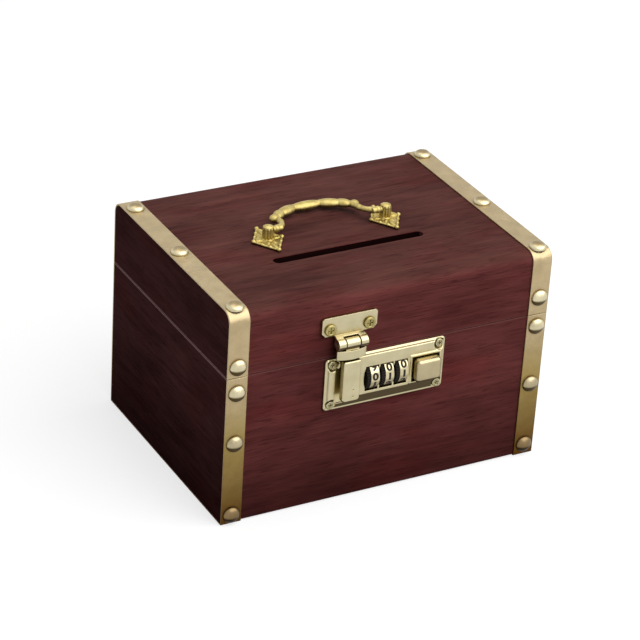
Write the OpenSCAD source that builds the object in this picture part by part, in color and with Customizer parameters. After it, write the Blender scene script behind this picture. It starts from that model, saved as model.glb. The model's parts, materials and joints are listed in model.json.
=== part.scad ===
// Wooden money box: brass-strapped base and lid, combination hasp lock, cast swing handle.
// The origin is in the middle of the whole outline, lock and hinges included, on the surface
// it stands on. +X runs along the front, +Y goes to the hinges, +Z is up. The model is shown
// shut and locked.

/* [Box] */
// Width of the wooden box
box_w = 145; // [125:1:200]
// Depth of the wooden box
box_d = 105; // [90:1:150]
// Height of the wooden base
base_h = 65.8; // [60:0.1:90]
// Height of the wooden lid
lid_h = 27.8; // [24:0.1:45]
// Thickness of the end, front and back boards
wall = 7; // [6:0.5:8.5]
// Thickness of the floor board
floor_t = 5; // [3:0.5:8]
// Thickness of the top board
top_t = 7; // [5:0.5:9]
// Rounding of the long top edges
edge_r = 4.5; // [2:0.5:5]
// Gap between the base and the shut lid
seam_gap = 0.2; // [0.1:0.1:0.6]

/* [Straps and nails] */
// Width of the brass straps
strap_w = 8.8; // [8:0.1:12]
// Thickness of the brass straps
strap_t = 0.6; // [0.4:0.1:1]
// Diameter of the domed nail heads
head_d = 7.2; // [5:0.1:7.6]
// Height of the nail domes
head_h = 1.9; // [1:0.1:2.5]
// Straight rim under each dome
head_rim = 0.25; // [0.1:0.05:0.5]
// Diameter of the nail shanks
nail_d = 1.4; // [1:0.1:2]
// Length of the nail shanks below the strap
nail_len = 5.5; // [4:0.5:7]
// Nails on the left strap's front: down to the lid nail from the top, then from the seam
left_front_nails = [23.2, 6.7, 29.4, 62.2]; // [3:0.1:90]
// Nails on the right strap's front, measured alike
right_front_nails = [20.2, 5.3, 32.4, 61.4]; // [3:0.1:90]
// Nails on the left strap's top: from the front edge, from the middle, from the back edge
left_top_nails = [4.4, 1.0, 9.8]; // [-10:0.1:20]
// Nails on the right strap's top, measured alike
right_top_nails = [4.2, -4.5, 7.6]; // [-10:0.1:20]
// Nails on both straps' backs, measured as on the front
back_nails = [21.7, 6, 31, 61.8]; // [3:0.1:90]

/* [Coin slot] */
// Length of the coin slot
slot_len = 68; // [40:1:90]
// Width of the coin slot
slot_w = 4.8; // [4.4:0.1:6]
// Slot, sideways from the middle
slot_x = -2.6; // [-8:0.1:8]
// Slot, forwards from the middle
slot_forward = 18.8; // [16:0.1:30]

/* [Lock] */
// Width of the lock's face plate
plate_w = 54.2; // [53:0.1:60]
// Height of the lock's face plate
plate_h = 23.2; // [22.6:0.1:26]
// Thickness of the plate's flange
flange_t = 1; // [0.8:0.1:1.5]
// Height of the cushion-shaped middle above the flange
cushion_h = 1.9; // [1.4:0.1:2.4]
// Margin of bare flange around the cushion
cushion_margin = 1.4; // [1:0.1:2.5]
// Bevel round the cushion
cushion_bevel = 0.9; // [0.4:0.1:1.2]
// Width of the long slope along its lower edge
cushion_low_run = 3.2; // [1:0.1:3.4]
// Fall of that slope
cushion_low_drop = 1.6; // [0.9:0.1:1.8]
// Clear radius that the cushion leaves round each plate screw
screw_clear_r = 3.3; // [2.6:0.1:3.6]
// Rounding of the flange's corners
plate_corner_r = 1.6; // [0.5:0.1:3]
// Lock, sideways from the middle of the box
lock_x = -2.6; // [-10:0.1:10]
// Middle of the lock below the seam
lock_drop = 11.9; // [11.8:0.1:20]
// Screws of the plate, across
plate_screw_dx = 48.4; // [48:0.1:50]
// Screws of the plate, up
plate_screw_dz = 18.2; // [18:0.1:19.5]
// Depth of the lock case behind the plate
case_depth = 9; // [8.9:0.1:11]
// Thickness of the case walls
case_wall = 0.8; // [0.6:0.1:1]
// Half height of the case round the dials
case_half_h = 8.2; // [7.9:0.1:8.4]
// Half height of the case round the button
case_end_half_h = 6.9; // [6.8:0.1:7.1]
// Thickness of the plate that shuts the case
cover_t = 1; // [0.6:0.1:1.6]
// Room between the lock case and its mortise
mortise_gap = 0.2; // [0.1:0.05:0.4]

/* [Dials] */
// Radius of the number dials
dial_r = 6.4; // [6:0.1:6.6]
// Width of each dial
dial_w = 5.5; // [5:0.1:5.6]
// Spacing of the dials
dial_pitch = 6.55; // [6.4:0.05:6.7]
// Middle dial, sideways from the middle of the lock
dial_x = 0.1; // [-1:0.1:0.3]
// Depth of the dials' axis behind the front board's face
dial_depth = 2.3; // [2.1:0.1:2.4]
// Size of the windows that the dials show through
window_w = 5.9; // [5.6:0.1:6.1]
// Height of those windows
window_h = 11; // [9:0.1:12]
// Room for the dials behind the windows' ends
dial_gap = 0.3; // [0.2:0.05:0.5]
// Outer radius of the code sleeves inside the dials
sleeve_r = 3.1; // [2.9:0.1:3.6]
// Numbers round each dial
dial_numbers = 10; // [10:1:12]
// Width of the detent leaf behind the dials
detent_w = 6; // [4:0.5:10]

/* [Push button] */
// Width of the push button
button_w = 11.2; // [11:0.1:11.4]
// Height of the push button
button_h = 10; // [9.6:0.1:10.2]
// How far the button stands out of the cushion
button_out = 3.5; // [3.2:0.1:4.5]
// How far the button can be pressed
press_travel = 2.8; // [2.7:0.1:2.9]
// Bevel round the button's face
button_bevel = 0.8; // [0.4:0.1:1.2]
// Wall of the hollow button
button_wall = 1.2; // [1:0.1:1.3]
// Gap round the button in its opening
button_gap = 0.6; // [0.4:0.1:0.7]
// Width of the raised rim round its opening
button_rim_w = 0.7; // [0.4:0.1:0.8]
// Height of that rim
button_rim_h = 0.5; // [0.2:0.1:0.6]
// Middle of the button, sideways from the middle of the lock
button_x = 17.8; // [17.7:0.1:18]

/* [Latch] */
// Radius of the latch bolt
bolt_r = 1.5; // [1.3:0.05:1.5]
// Running clearance of the bolt in its bearings
bolt_fit = 0.05; // [0.02:0.01:0.1]
// Thickness of the staple behind the hasp
staple_t = 1.6; // [1.2:0.1:1.8]
// Room round the bolt in the staple's eye
staple_eye_gap = 0.2; // [0.1:0.05:0.3]
// Metal round the staple's eye
staple_rim = 1.2; // [1:0.1:1.4]

/* [Hasp] */
// Hasp, sideways from the middle of the box
hasp_x = -20.3; // [-20.6:0.1:-20]
// Width of the hasp plate on the lid
hasp_w = 24.4; // [22:0.1:26]
// Height of the hasp plate
hasp_h = 8.2; // [7:0.1:9]
// Thickness of the hasp plate
hasp_t = 1.5; // [1:0.1:1.7]
// Spacing of the hasp's screws
hasp_screw_dx = 17.3; // [17:0.1:18.4]
// Hasp pivot above the seam
hasp_up = 7.4; // [7.2:0.1:9]
// Hasp pivot out from the front board
hasp_out = 3.8; // [3.6:0.1:4.2]
// Radius of the hasp's knuckles
knuckle_r = 2.3; // [2:0.1:2.5]
// Width over all three knuckles
knuckle_w = 13; // [11:0.1:14]
// Width of the middle knuckle
tongue_knuckle_w = 6.4; // [5:0.1:7]
// Gap between neighbouring knuckles
knuckle_gap = 0.15; // [0.1:0.05:0.3]
// Radius of the hasp's pin
hasp_pin_r = 1; // [0.7:0.1:1.3]
// Height of the hasp's collar band
collar_h = 4; // [3:0.1:4.2]
// Thickness of the hasp's collar band
collar_t = 2.1; // [1.5:0.1:2.4]
// Width of the crowned hasp cover
hasp_cover_w = 7.8; // [7:0.1:9]
// Length of the crowned hasp cover
hasp_cover_len = 18.9; // [18.5:0.1:22]
// Thickness of the crowned hasp cover
hasp_cover_t = 3.1; // [2.4:0.1:3.6]
// Rise of the cover's rounded front
cover_crown = 0.9; // [0.4:0.1:1.4]

/* [Screws] */
// Head radius of the small brass screws
screw_head_r = 2.05; // [1.7:0.05:2.2]
// Height of their domed heads
screw_head_h = 1; // [0.6:0.1:1.3]
// Shank radius of the small brass screws
screw_r = 0.9; // [0.7:0.05:1]
// Length of the small brass screws in the wood
screw_len = 5.5; // [4:0.5:7]

/* [Handle] */
// Handle, sideways from the middle
handle_x = -3.8; // [-8:0.1:8]
// Handle, forwards from the middle
handle_forward = 2.4; // [0:0.1:3]
// Distance between the two posts
post_pitch = 53.8; // [50:0.1:60]
// Width of the lozenge rosettes between their tips
rosette_w = 12.6; // [11:0.1:14]
// Length of the lozenge rosettes between their tips
rosette_l = 19.8; // [17:0.1:21]
// Thickness of the rosettes
rosette_t = 0.9; // [0.7:0.1:1.3]
// Radius of the knobs on the rosettes' tips
tip_knob_r = 0.9; // [0.7:0.05:1.1]
// Height of the posts above the lid
post_h = 7.4; // [7:0.1:9]
// Radius of the posts
post_r = 2.3; // [2.1:0.1:2.6]
// Radius of the screws that hold the posts
post_screw_r = 1.25; // [1:0.05:1.4]
// Reach of those screws into the posts
post_screw_reach = 3; // [2:0.1:3.2]
// Head radius of those screws
post_screw_head_r = 2.6; // [2:0.1:3.5]
// Height of their domed heads
post_screw_head_h = 1.3; // [0.8:0.1:2]
// Height of the bail's pivot above the lid
pivot_up = 5; // [4.8:0.1:5.2]
// Radius of the bail's pivot pins
bail_pin_r = 1.2; // [1:0.05:1.25]
// Running clearance of the bail's pins
bail_fit = 0.05; // [0.02:0.01:0.1]
// Radius of the bail's bar
bail_r = 1.35; // [1.2:0.05:1.6]
// Largest radius of the bail's leaf swellings
leaf_r = 2.1; // [1.8:0.05:2.1]
// Half width of the bail at its necks
neck_u = 18.2; // [16:0.1:19]
// Reach of the bail's straight necks
neck_len = 9; // [7:0.1:10]
// Radius of the bail's shoulders
shoulder_r = 7.7; // [6:0.1:9]
// Lean of the bail from upright, lying back on the lid
bail_lean = 98; // [90:0.5:98]

/* [Hinges] */
// Middle of each hinge from the box's end
hinge_inset = 34.5; // [26:0.5:42]
// Width of each hinge
hinge_w = 16; // [14:1:24]
// Height of each hinge leaf
leaf_h = 9; // [8:0.5:14]
// Thickness of the hinge leaves
leaf_t = 0.8; // [0.6:0.1:1]
// Radius of the hinge barrels
barrel_r = 1.5; // [1.4:0.1:1.6]
// Radius of the hinge pins
hinge_pin_r = 0.75; // [0.6:0.05:0.8]
// Running clearance of the lid leaf on the pin
hinge_fit = 0.05; // [0.02:0.01:0.1]

/* [Hidden] */
$fn = 48;
EPS = 0.01;
seam_z = strap_t + base_h;
lid_z = seam_z + seam_gap;
top_z = lid_z + lid_h;
inner_w = box_w - 2 * wall;
lid_wall_h = lid_h - top_t;
strap_x = box_w / 2 - strap_w / 2;
shank_r = nail_d / 2;
lock_z = seam_z - lock_drop;
cushion_z = flange_t + cushion_h;
dial_places = [for (i = [-1:1]) dial_x + i * dial_pitch];
bearing_t = 0.8;
bearing_reach = dial_pitch + dial_w / 2 + 0.25 + bearing_t / 2;
bearing_places = [dial_x - bearing_reach, dial_x + bearing_reach];
case_left = -22.5;
case_step = 22;
case_right = 25.6;
lip_t = 1;
lip_grow = 0.4;
button_roof_z = cushion_z + button_out - button_wall;
cam_blade_t = 1.2;
cam_left = 15;
cam_gap = 0.1;
cam_low_z = -dial_depth - bolt_r - 0.2;
bolt_end = cam_left + 6;
staple_x = hasp_x - lock_x;
staple_r = bolt_r + staple_eye_gap + staple_rim;
bolt_tip = staple_x - staple_t / 2 - 0.8;
collar_ring_x = staple_x + staple_t / 2 + 0.9;
collar_ring_r = dial_depth - 0.1;
post_foot_h = 1.5;
hasp_z = seam_z + hasp_up;
staple_y = lock_z - hasp_z;
web_t = 2;
collar_y = -knuckle_r - 0.6;
cover_y = collar_y - collar_h;
cover_back_z = cushion_z + 0.2;
outer_knuckle_w = (knuckle_w - tongue_knuckle_w) / 2 - knuckle_gap;
hasp_plate_y = knuckle_r + 0.8;
hasp_screw_y = hasp_plate_y + 2.9;
hinge_out = barrel_r + 0.1;
hinge_knuckle_w = hinge_w / 3;
hinge_knuckle_gap = 0.1;
hinge_z = seam_z + seam_gap / 2;
hinge_pitch = box_w - 2 * hinge_inset;
mid_y = (cushion_z + button_out - hinge_out - barrel_r) / 2;
shoulder_turn = 60;
shoulder_u = neck_u - shoulder_r;
arch_r = shoulder_r + shoulder_u / cos(shoulder_turn);
arch_w = neck_len - shoulder_u * tan(shoulder_turn);
elbow_r = 2.4;

wood_top = [0.36, 0.17, 0.17];
wood_front = [0.33, 0.12, 0.13];
pale_brass = [0.86, 0.80, 0.62];
satin_brass = [0.76, 0.68, 0.45];
gold = [0.85, 0.70, 0.25];
steel = [0.62, 0.62, 0.60];

// ---- places: each puts its children on a face, with local Z pointing out of it ----

module on_front(x, z) { translate([x, -box_d / 2, z]) rotate([90, 0, 0]) children(); }
module on_back(x, z) { translate([x, box_d / 2, z]) rotate([90, 0, 180]) children(); }
module on_top(x, y) { translate([x, y, top_z]) children(); }
module on_lock() { on_front(lock_x, lock_z) children(); }
module on_hasp() { on_front(hasp_x, hasp_z) children(); }
module on_hinge(side) { on_back(-side * hinge_pitch / 2, hinge_z) children(); }

// Puts the finished piece where the origin is in the middle of the whole outline
module placed() { translate([0, mid_y, 0]) children(); }

// A profile in the box's YZ plane, drawn out along X
module along_x(x, len) { translate([x, 0, 0]) rotate([90, 0, 90]) linear_extrude(len) children(); }

// ---- nails ----

module domed_head(r, h, rim) {
    dome_r = (r * r + h * h) / (2 * h);
    cylinder(r = r, h = rim);
    translate([0, 0, rim]) rotate_extrude() intersection() {
        translate([0, h - dome_r]) circle(r = dome_r);
        square([r, h]);
    }
}

module nail() {
    translate([0, 0, strap_t]) domed_head(head_d / 2, head_h, head_rim);
    translate([0, 0, -nail_len]) cylinder(r = shank_r, h = nail_len + strap_t);
}

module nail_hole() { translate([0, 0, -nail_len]) cylinder(r = shank_r, h = nail_len + 2 * strap_t); }

// Nails and their holes share these places. Side is -1 for the left strap, 1 for the right.
function front_nails(side) = side < 0 ? left_front_nails : right_front_nails;
function top_nails(side) = side < 0 ? left_top_nails : right_top_nails;

module at_base_nails(side) {
    for (i = [1:3]) {
        on_front(side * strap_x, seam_z - front_nails(side)[i]) children();
        on_back(side * strap_x, seam_z - back_nails[i]) children();
    }
}

module at_lid_nails(side) {
    y = top_nails(side);
    for (place = [y[0] - box_d / 2, y[1], box_d / 2 - y[2]]) on_top(side * strap_x, place) children();
    on_front(side * strap_x, top_z - front_nails(side)[0]) children();
    on_back(side * strap_x, top_z - back_nails[0]) children();
}

// ---- wooden boards ----

module rounded_top(d, h, r) {
    translate([-d / 2, 0]) square([d, h - r]);
    translate([r - d / 2, 0]) square([d - 2 * r, h]);
    for (s = [-1, 1]) translate([s * (d / 2 - r), h - r]) circle(r = r);
}

module base_end(side) {
    difference() {
        along_x(side < 0 ? -box_w / 2 : box_w / 2 - wall, wall)
            translate([-box_d / 2, strap_t]) square([box_d, base_h]);
        at_base_nails(side) nail_hole();
    }
}

module lid_end(side) {
    difference() {
        translate([0, 0, lid_z]) along_x(side < 0 ? -box_w / 2 : box_w / 2 - wall, wall)
            rounded_top(box_d, lid_h, edge_r);
        at_lid_nails(side) nail_hole();
    }
}

module base_left() { color(wood_front) base_end(-1); }
module base_right() { color(wood_front) base_end(1); }
module lid_left() { color(wood_front) lid_end(-1); }
module lid_right() { color(wood_front) lid_end(1); }

module long_board(y, z, h) { translate([-inner_w / 2, y, z]) cube([inner_w, wall, h]); }

module base_front() {
    color(wood_front) difference() {
        long_board(-box_d / 2, strap_t, base_h);
        on_lock() {
            translate([0, 0, -2 * wall]) linear_extrude(3 * wall) case_outline(mortise_gap);
            at_plate_screws() pilot_hole();
        }
    }
}

module base_back() {
    color(wood_front) difference() {
        long_board(box_d / 2 - wall, strap_t, base_h);
        for (side = [-1, 1]) on_hinge(side) at_leaf_screws(-1) pilot_hole();
    }
}

module base_floor() {
    color(wood_front) translate([-inner_w / 2, wall - box_d / 2, strap_t])
        cube([inner_w, box_d - 2 * wall, floor_t]);
}

module coin_slot() {
    run = slot_len / 2 - slot_w / 2;
    translate([slot_x, -slot_forward]) {
        square([2 * run, slot_w], center = true);
        for (s = [-1, 1]) translate([s * run, 0]) circle(r = slot_w / 2);
    }
}

module lid_top() {
    color(wood_top) difference() {
        translate([0, 0, lid_z]) along_x(-inner_w / 2, inner_w) intersection() {
            rounded_top(box_d, lid_h, edge_r);
            translate([-box_d / 2, lid_wall_h]) square([box_d, top_t]);
        }
        translate([0, 0, top_z - 2 * top_t]) linear_extrude(3 * top_t) coin_slot();
        at_posts() translate([0, 0, -2 * top_t]) cylinder(r = post_screw_r, h = 3 * top_t);
    }
}

module lid_front() {
    color(wood_front) difference() {
        long_board(-box_d / 2, lid_z, lid_wall_h);
        on_hasp() at_hasp_screws() pilot_hole();
    }
}

module lid_back() {
    color(wood_front) difference() {
        long_board(box_d / 2 - wall, lid_z, lid_wall_h);
        for (side = [-1, 1]) on_hinge(side) at_leaf_screws(1) pilot_hole();
    }
}

// ---- brass straps ----

module base_strap(side) {
    difference() {
        along_x(side * strap_x - strap_w / 2, strap_w) difference() {
            translate([0, seam_z]) mirror([0, 1]) rounded_top(box_d + 2 * strap_t, seam_z, strap_t);
            translate([-box_d / 2, strap_t]) square([box_d, 2 * base_h]);
        }
        at_base_nails(side) nail_hole();
    }
}

module lid_strap(side) {
    difference() {
        translate([0, 0, lid_z]) along_x(side * strap_x - strap_w / 2, strap_w) difference() {
            rounded_top(box_d + 2 * strap_t, lid_h + strap_t, edge_r + strap_t);
            translate([0, -edge_r]) rounded_top(box_d, lid_h + edge_r, edge_r);
        }
        at_lid_nails(side) nail_hole();
    }
}

module base_strap_left() { color(satin_brass) base_strap(-1); }
module base_strap_right() { color(satin_brass) base_strap(1); }
module lid_strap_left() { color(satin_brass) lid_strap(-1); }
module lid_strap_right() { color(satin_brass) lid_strap(1); }
module base_studs() { color(pale_brass) for (side = [-1, 1]) at_base_nails(side) nail(); }
module lid_studs() { color(pale_brass) for (side = [-1, 1]) at_lid_nails(side) nail(); }

// ---- small screws ----

// A domed screw whose head seats at local height z
module small_screw(z) {
    difference() {
        translate([0, 0, z]) domed_head(screw_head_r, screw_head_h, 0.15);
        translate([0, 0, z + screw_head_h - 0.35]) {
            cube([2.4, 0.5, 1.2], center = true);
            cube([0.5, 2.4, 1.2], center = true);
        }
    }
    translate([0, 0, -screw_len]) cylinder(r = screw_r, h = screw_len + z);
}

module pilot_hole() { translate([0, 0, -screw_len]) cylinder(r = screw_r, h = 2 * screw_len); }

// ---- combination lock: face plate and case in one casting ----

module at_plate_screws() {
    for (i = [-1, 1], j = [-1, 1])
        translate([i * plate_screw_dx / 2, j * plate_screw_dz / 2, 0]) children();
}

module case_outline(grow) {
    translate([case_left - grow, -case_half_h - grow])
        square([case_step - case_left + 2 * grow, 2 * (case_half_h + grow)]);
    translate([0, -case_end_half_h - grow]) square([case_right + grow, 2 * (case_end_half_h + grow)]);
}

module plate_outline(r) {
    w = plate_w;
    h = plate_h;
    square([w, h - 2 * r], center = true);
    square([w - 2 * r, h], center = true);
    for (i = [-1, 1], j = [-1, 1]) translate([i * (w / 2 - r), j * (h / 2 - r)]) circle(r = r);
}

// A block standing on Z = 0 with a bevel round its top: two long profiles that cross.
// Its lower edge may have a longer, deeper slope.
module bevelled_block(w, h, t, bevel, low_run = 0, low_drop = 0) {
    intersection() {
        translate([-w / 2, 0, 0]) rotate([90, 0, 90]) linear_extrude(w)
            bevelled_profile(h, t, bevel, max(bevel, low_run), max(bevel, low_drop));
        translate([0, h / 2, 0]) rotate([90, 0, 0]) linear_extrude(h)
            bevelled_profile(w, t, bevel, bevel, bevel);
    }
}

module bevelled_profile(w, t, bevel, low_run, low_drop) {
    polygon([[-w / 2, 0], [w / 2, 0], [w / 2, t - bevel], [w / 2 - bevel, t],
        [low_run - w / 2, t], [-w / 2, t - low_drop]]);
}

// The cushion is scooped at its corners so that the plate's screws can be reached
module cushion() {
    difference() {
        bevelled_block(plate_w - 2 * cushion_margin, plate_h - 2 * cushion_margin, cushion_h, cushion_bevel,
            cushion_low_run, cushion_low_drop);
        at_plate_screws() {
            translate([0, 0, -1]) cylinder(r = screw_clear_r, h = cushion_h + 2);
            translate([0, 0, cushion_h - cushion_bevel])
                cylinder(r1 = screw_clear_r, r2 = screw_clear_r + 2 * cushion_bevel, h = 2 * cushion_bevel);
        }
    }
}

module button_opening(grow) {
    translate([button_x, 0])
        square([button_w + 2 * (button_gap + grow), button_h + 2 * (button_gap + grow)], center = true);
}

module lock_face_plate() {
    drop_room = 1.4;
    color(pale_brass) on_lock() difference() {
        union() {
            linear_extrude(flange_t) plate_outline(plate_corner_r);
            translate([0, 0, flange_t]) cushion();
            translate([0, 0, flange_t]) linear_extrude(cushion_h + button_rim_h) button_opening(button_rim_w);
            translate([0, 0, -case_depth]) linear_extrude(case_depth) difference() {
                case_outline(0);
                case_outline(-case_wall);
            }
            for (x = bearing_places) translate([x - bearing_t / 2, -case_half_h, -case_depth])
                cube([bearing_t, 2 * case_half_h, case_depth]);
        }
        for (x = dial_places) {
            translate([x, 0, cushion_z]) cube([window_w, window_h, 3 * cushion_z], center = true);
            translate([x - window_w / 2, 0, -dial_depth]) rotate([0, 90, 0])
                cylinder(r = dial_r + dial_gap, h = window_w);
        }
        translate([0, 0, -EPS]) linear_extrude(2 * cushion_z) button_opening(0);
        translate([staple_x - staple_t / 2 - 0.4, -staple_r - drop_room, -EPS])
            cube([staple_t + 0.8, 2 * staple_r + drop_room + 0.5, 2 * cushion_z]);
        at_plate_screws() translate([0, 0, -flange_t]) cylinder(r = screw_r, h = 3 * flange_t);
        translate([bearing_places[0] - 1, 0, -dial_depth]) rotate([0, 90, 0])
            cylinder(r = bolt_r + bolt_fit, h = 2 * bearing_reach + 2);
    }
}

module lock_back_cover() {
    color(steel) on_lock() translate([0, 0, -case_depth - cover_t]) linear_extrude(cover_t) case_outline(0);
}

module lock_plate_screws() { color(gold) on_lock() at_plate_screws() small_screw(flange_t); }

// A leaf on the back cover that lies close behind the dials and clicks over their grooves
module detent_spring() {
    leaf_t = case_depth - dial_depth - dial_r - 0.1;
    reach = bearing_reach - bearing_t;
    color(steel) on_lock() translate([dial_x - reach, -detent_w / 2, -case_depth])
        cube([2 * reach, detent_w, leaf_t]);
}

// ---- dials ----

module on_dial(i) { on_lock() translate([dial_places[i], 0, -dial_depth]) rotate([0, 90, 0]) children(); }

// Numbers are on the flats between the grooves. The rims are knurled.
module dial(i) {
    step = 360 / dial_numbers;
    on_dial(i) difference() {
        cylinder(r = dial_r, h = dial_w, center = true, $fn = 64);
        cylinder(r = sleeve_r, h = 2 * dial_w, center = true);
        for (k = [0:dial_numbers - 1]) rotate(k * step + step / 2) {
            translate([dial_r + 0.15, 0, 0]) cylinder(r = 0.6, h = 2 * dial_w, center = true, $fn = 24);
            translate([sleeve_r, 0, 0]) cube([1, 0.8, 2 * dial_w], center = true);
        }
    }
}

// The sleeve's ribs key into the dial, and its gate is the notch in the bore
module code_sleeve(i) {
    step = 360 / dial_numbers;
    on_dial(i) difference() {
        union() {
            cylinder(r = sleeve_r, h = dial_w, center = true);
            for (k = [0:dial_numbers - 1]) rotate(k * step + step / 2)
                translate([sleeve_r, 0, 0]) cube([1, 0.8, dial_w], center = true);
        }
        cylinder(r = bolt_r + bolt_fit, h = 2 * dial_w, center = true);
        translate([bolt_r + 0.4, 0, 0]) cube([1.2, 1, 2 * dial_w], center = true);
    }
}

module dial_1() { color(pale_brass) dial(0); }
module dial_2() { color(pale_brass) dial(1); }
module dial_3() { color(pale_brass) dial(2); }
module code_sleeve_1() { color(steel) code_sleeve(0); }
module code_sleeve_2() { color(steel) code_sleeve(1); }
module code_sleeve_3() { color(steel) code_sleeve(2); }

// ---- push button, with the wedge that draws the bolt ----

// The wedge's profile in the lock's XZ plane: its slanted side draws the bolt as far as it is pressed
module cam_profile() {
    rise = button_roof_z - cam_low_z;
    polygon([
        [cam_left, cam_low_z], [cam_left + cam_blade_t, cam_low_z],
        [cam_left + cam_blade_t + rise, button_roof_z], [cam_left, button_roof_z]
    ]);
}

module across_lock(width) {
    translate([0, width / 2, 0]) rotate([90, 0, 0]) linear_extrude(width) children();
}

module button_block(w, h, bottom, top) {
    translate([button_x - w / 2, -h / 2, bottom]) cube([w, h, top - bottom]);
}

module push_button() {
    face = cushion_z + button_out;
    notch = 2 * (bolt_r + 0.3);
    hollow_w = button_w - 2 * button_wall;
    color(pale_brass) on_lock() {
        difference() {
            union() {
                translate([button_x, 0, -lip_t - 0.1])
                    bevelled_block(button_w, button_h, face + lip_t + 0.1, button_bevel);
                button_block(button_w + 2 * (button_gap + lip_grow) - 0.3,
                    button_h + 2 * (button_gap + lip_grow), -lip_t - 0.1, -0.1);
            }
            button_block(hollow_w, button_h - 2 * button_wall, -2 * lip_t, button_roof_z);
            translate([button_x - button_w, -notch / 2, -2 * lip_t])
                cube([2 * button_w, notch, 2 * lip_t + press_travel - 0.4]);
        }
        intersection() {
            across_lock(cam_blade_t) cam_profile();
            button_block(hollow_w + EPS, cam_blade_t, cam_low_z, button_roof_z + EPS);
        }
    }
}

// ---- latch bolt ----

// A rod through the dials. Its left tip holds the hasp's staple, the wedge works in its right end.
module latch_bolt() {
    slant = cam_left + cam_blade_t + cam_gap;
    slot_w = cam_blade_t + 0.2;
    color(steel) on_lock() difference() {
        union() {
            translate([bolt_tip, 0, -dial_depth]) rotate([0, 90, 0]) {
                cylinder(r1 = bolt_r - 0.5, r2 = bolt_r, h = 0.5);
                translate([0, 0, 0.5]) cylinder(r = bolt_r, h = bolt_end - bolt_tip - 0.5);
            }
            translate([collar_ring_x, 0, -dial_depth]) rotate([0, 90, 0]) cylinder(r = collar_ring_r, h = 0.6);
        }
        across_lock(slot_w) polygon([
            [cam_left - press_travel - 0.3, cam_low_z - 1], [slant - 1, cam_low_z - 1],
            [slant + 6, cam_low_z + 6], [cam_left - press_travel - 0.3, cam_low_z + 6]
        ]);
    }
}

// ---- coil springs ----

// A closed tube of the wire's radius swept along a helix, standing on Z = 0
module coil(r, wire, len, turns) {
    around = 10;
    sides = 4;
    rings = around * turns;
    climb = len - 2 * wire;
    points = [for (i = [0:rings], j = [0:sides - 1])
        let (a = 360 * i / around, b = 360 * j / sides, reach = r + wire * cos(b))
        [reach * cos(a), reach * sin(a), wire + climb * i / rings + wire * sin(b)]];
    walls = [for (i = [0:rings - 1], j = [0:sides - 1])
        let (k = (j + 1) % sides)
        [i * sides + j, i * sides + k, (i + 1) * sides + k, (i + 1) * sides + j]];
    ends = [[for (j = [sides - 1:-1:0]) j], [for (j = [0:sides - 1]) rings * sides + j]];
    polyhedron(points, concat(walls, ends));
}

// Two springs in the hollow button, which push it out again
module button_springs() {
    spring_r = 0.8;
    spring_y = bolt_r + 0.3 + spring_r + 0.3;
    color(steel) on_lock() for (s = [-1, 1])
        translate([button_x, s * spring_y, -case_depth])
            coil(spring_r, 0.2, case_depth + button_roof_z, 6);
}

// The spring between the left bearing and the bolt's collar
module bolt_spring() {
    start = collar_ring_x + 0.6;
    color(steel) on_lock() translate([start, 0, -dial_depth]) rotate([0, 90, 0])
        coil(bolt_r + 0.45, 0.2, bearing_places[0] - bearing_t / 2 - start, 4);
}

// ---- hasp ----

module at_hasp_screws() {
    for (s = [-1, 1]) translate([s * hasp_screw_dx / 2, hasp_screw_y, 0]) children();
}

module knuckle(x, w, bore) {
    translate([x, 0, hasp_out]) rotate([0, 90, 0]) difference() {
        cylinder(r = knuckle_r, h = w);
        translate([0, 0, -1]) cylinder(r = bore, h = w + 2);
    }
}

// The plate's profile across the lid: flat, with a neck that slopes out to the knuckles
module hasp_neck() {
    neck_w = knuckle_w;
    translate([-neck_w / 2, 0, 0]) rotate([90, 0, 90]) linear_extrude(neck_w) polygon([
        [hasp_plate_y + EPS, 0], [hasp_plate_y + EPS, hasp_t],
        [knuckle_r * sin(40), hasp_out + knuckle_r * cos(40)],
        [knuckle_r * sin(40), hasp_out - knuckle_r * cos(40)], [knuckle_r + 0.2, 0]
    ]);
}

module hasp_plate() {
    cut = 1.6;
    half = hasp_w / 2;
    color(pale_brass) on_hasp() difference() {
        union() {
            linear_extrude(hasp_t) translate([0, hasp_plate_y]) polygon([
                [-half + cut, 0], [half - cut, 0], [half, cut], [half, hasp_h - cut / 2],
                [half - cut / 2, hasp_h], [cut / 2 - half, hasp_h], [-half, hasp_h - cut / 2], [-half, cut]
            ]);
            hasp_neck();
            knuckle(-knuckle_w / 2, outer_knuckle_w, hasp_pin_r);
            knuckle(knuckle_w / 2 - outer_knuckle_w, outer_knuckle_w, hasp_pin_r);
        }
        translate([-tongue_knuckle_w / 2 - knuckle_gap, -2 * knuckle_r, hasp_out - knuckle_r - 0.2])
            cube([tongue_knuckle_w + 2 * knuckle_gap, 3 * knuckle_r + 0.3, 3 * knuckle_r]);
        translate([-knuckle_w, 0, hasp_out]) rotate([0, 90, 0]) cylinder(r = hasp_pin_r, h = 2 * knuckle_w);
        at_hasp_screws() translate([0, 0, -1]) cylinder(r = screw_r, h = 2 + hasp_t);
    }
}

module hasp_screws() { color(gold) on_hasp() at_hasp_screws() small_screw(hasp_t); }

module hasp_pin() {
    color(gold) on_hasp() translate([-knuckle_w / 2, 0, hasp_out]) rotate([0, 90, 0])
        cylinder(r = hasp_pin_r, h = knuckle_w);
}

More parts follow.
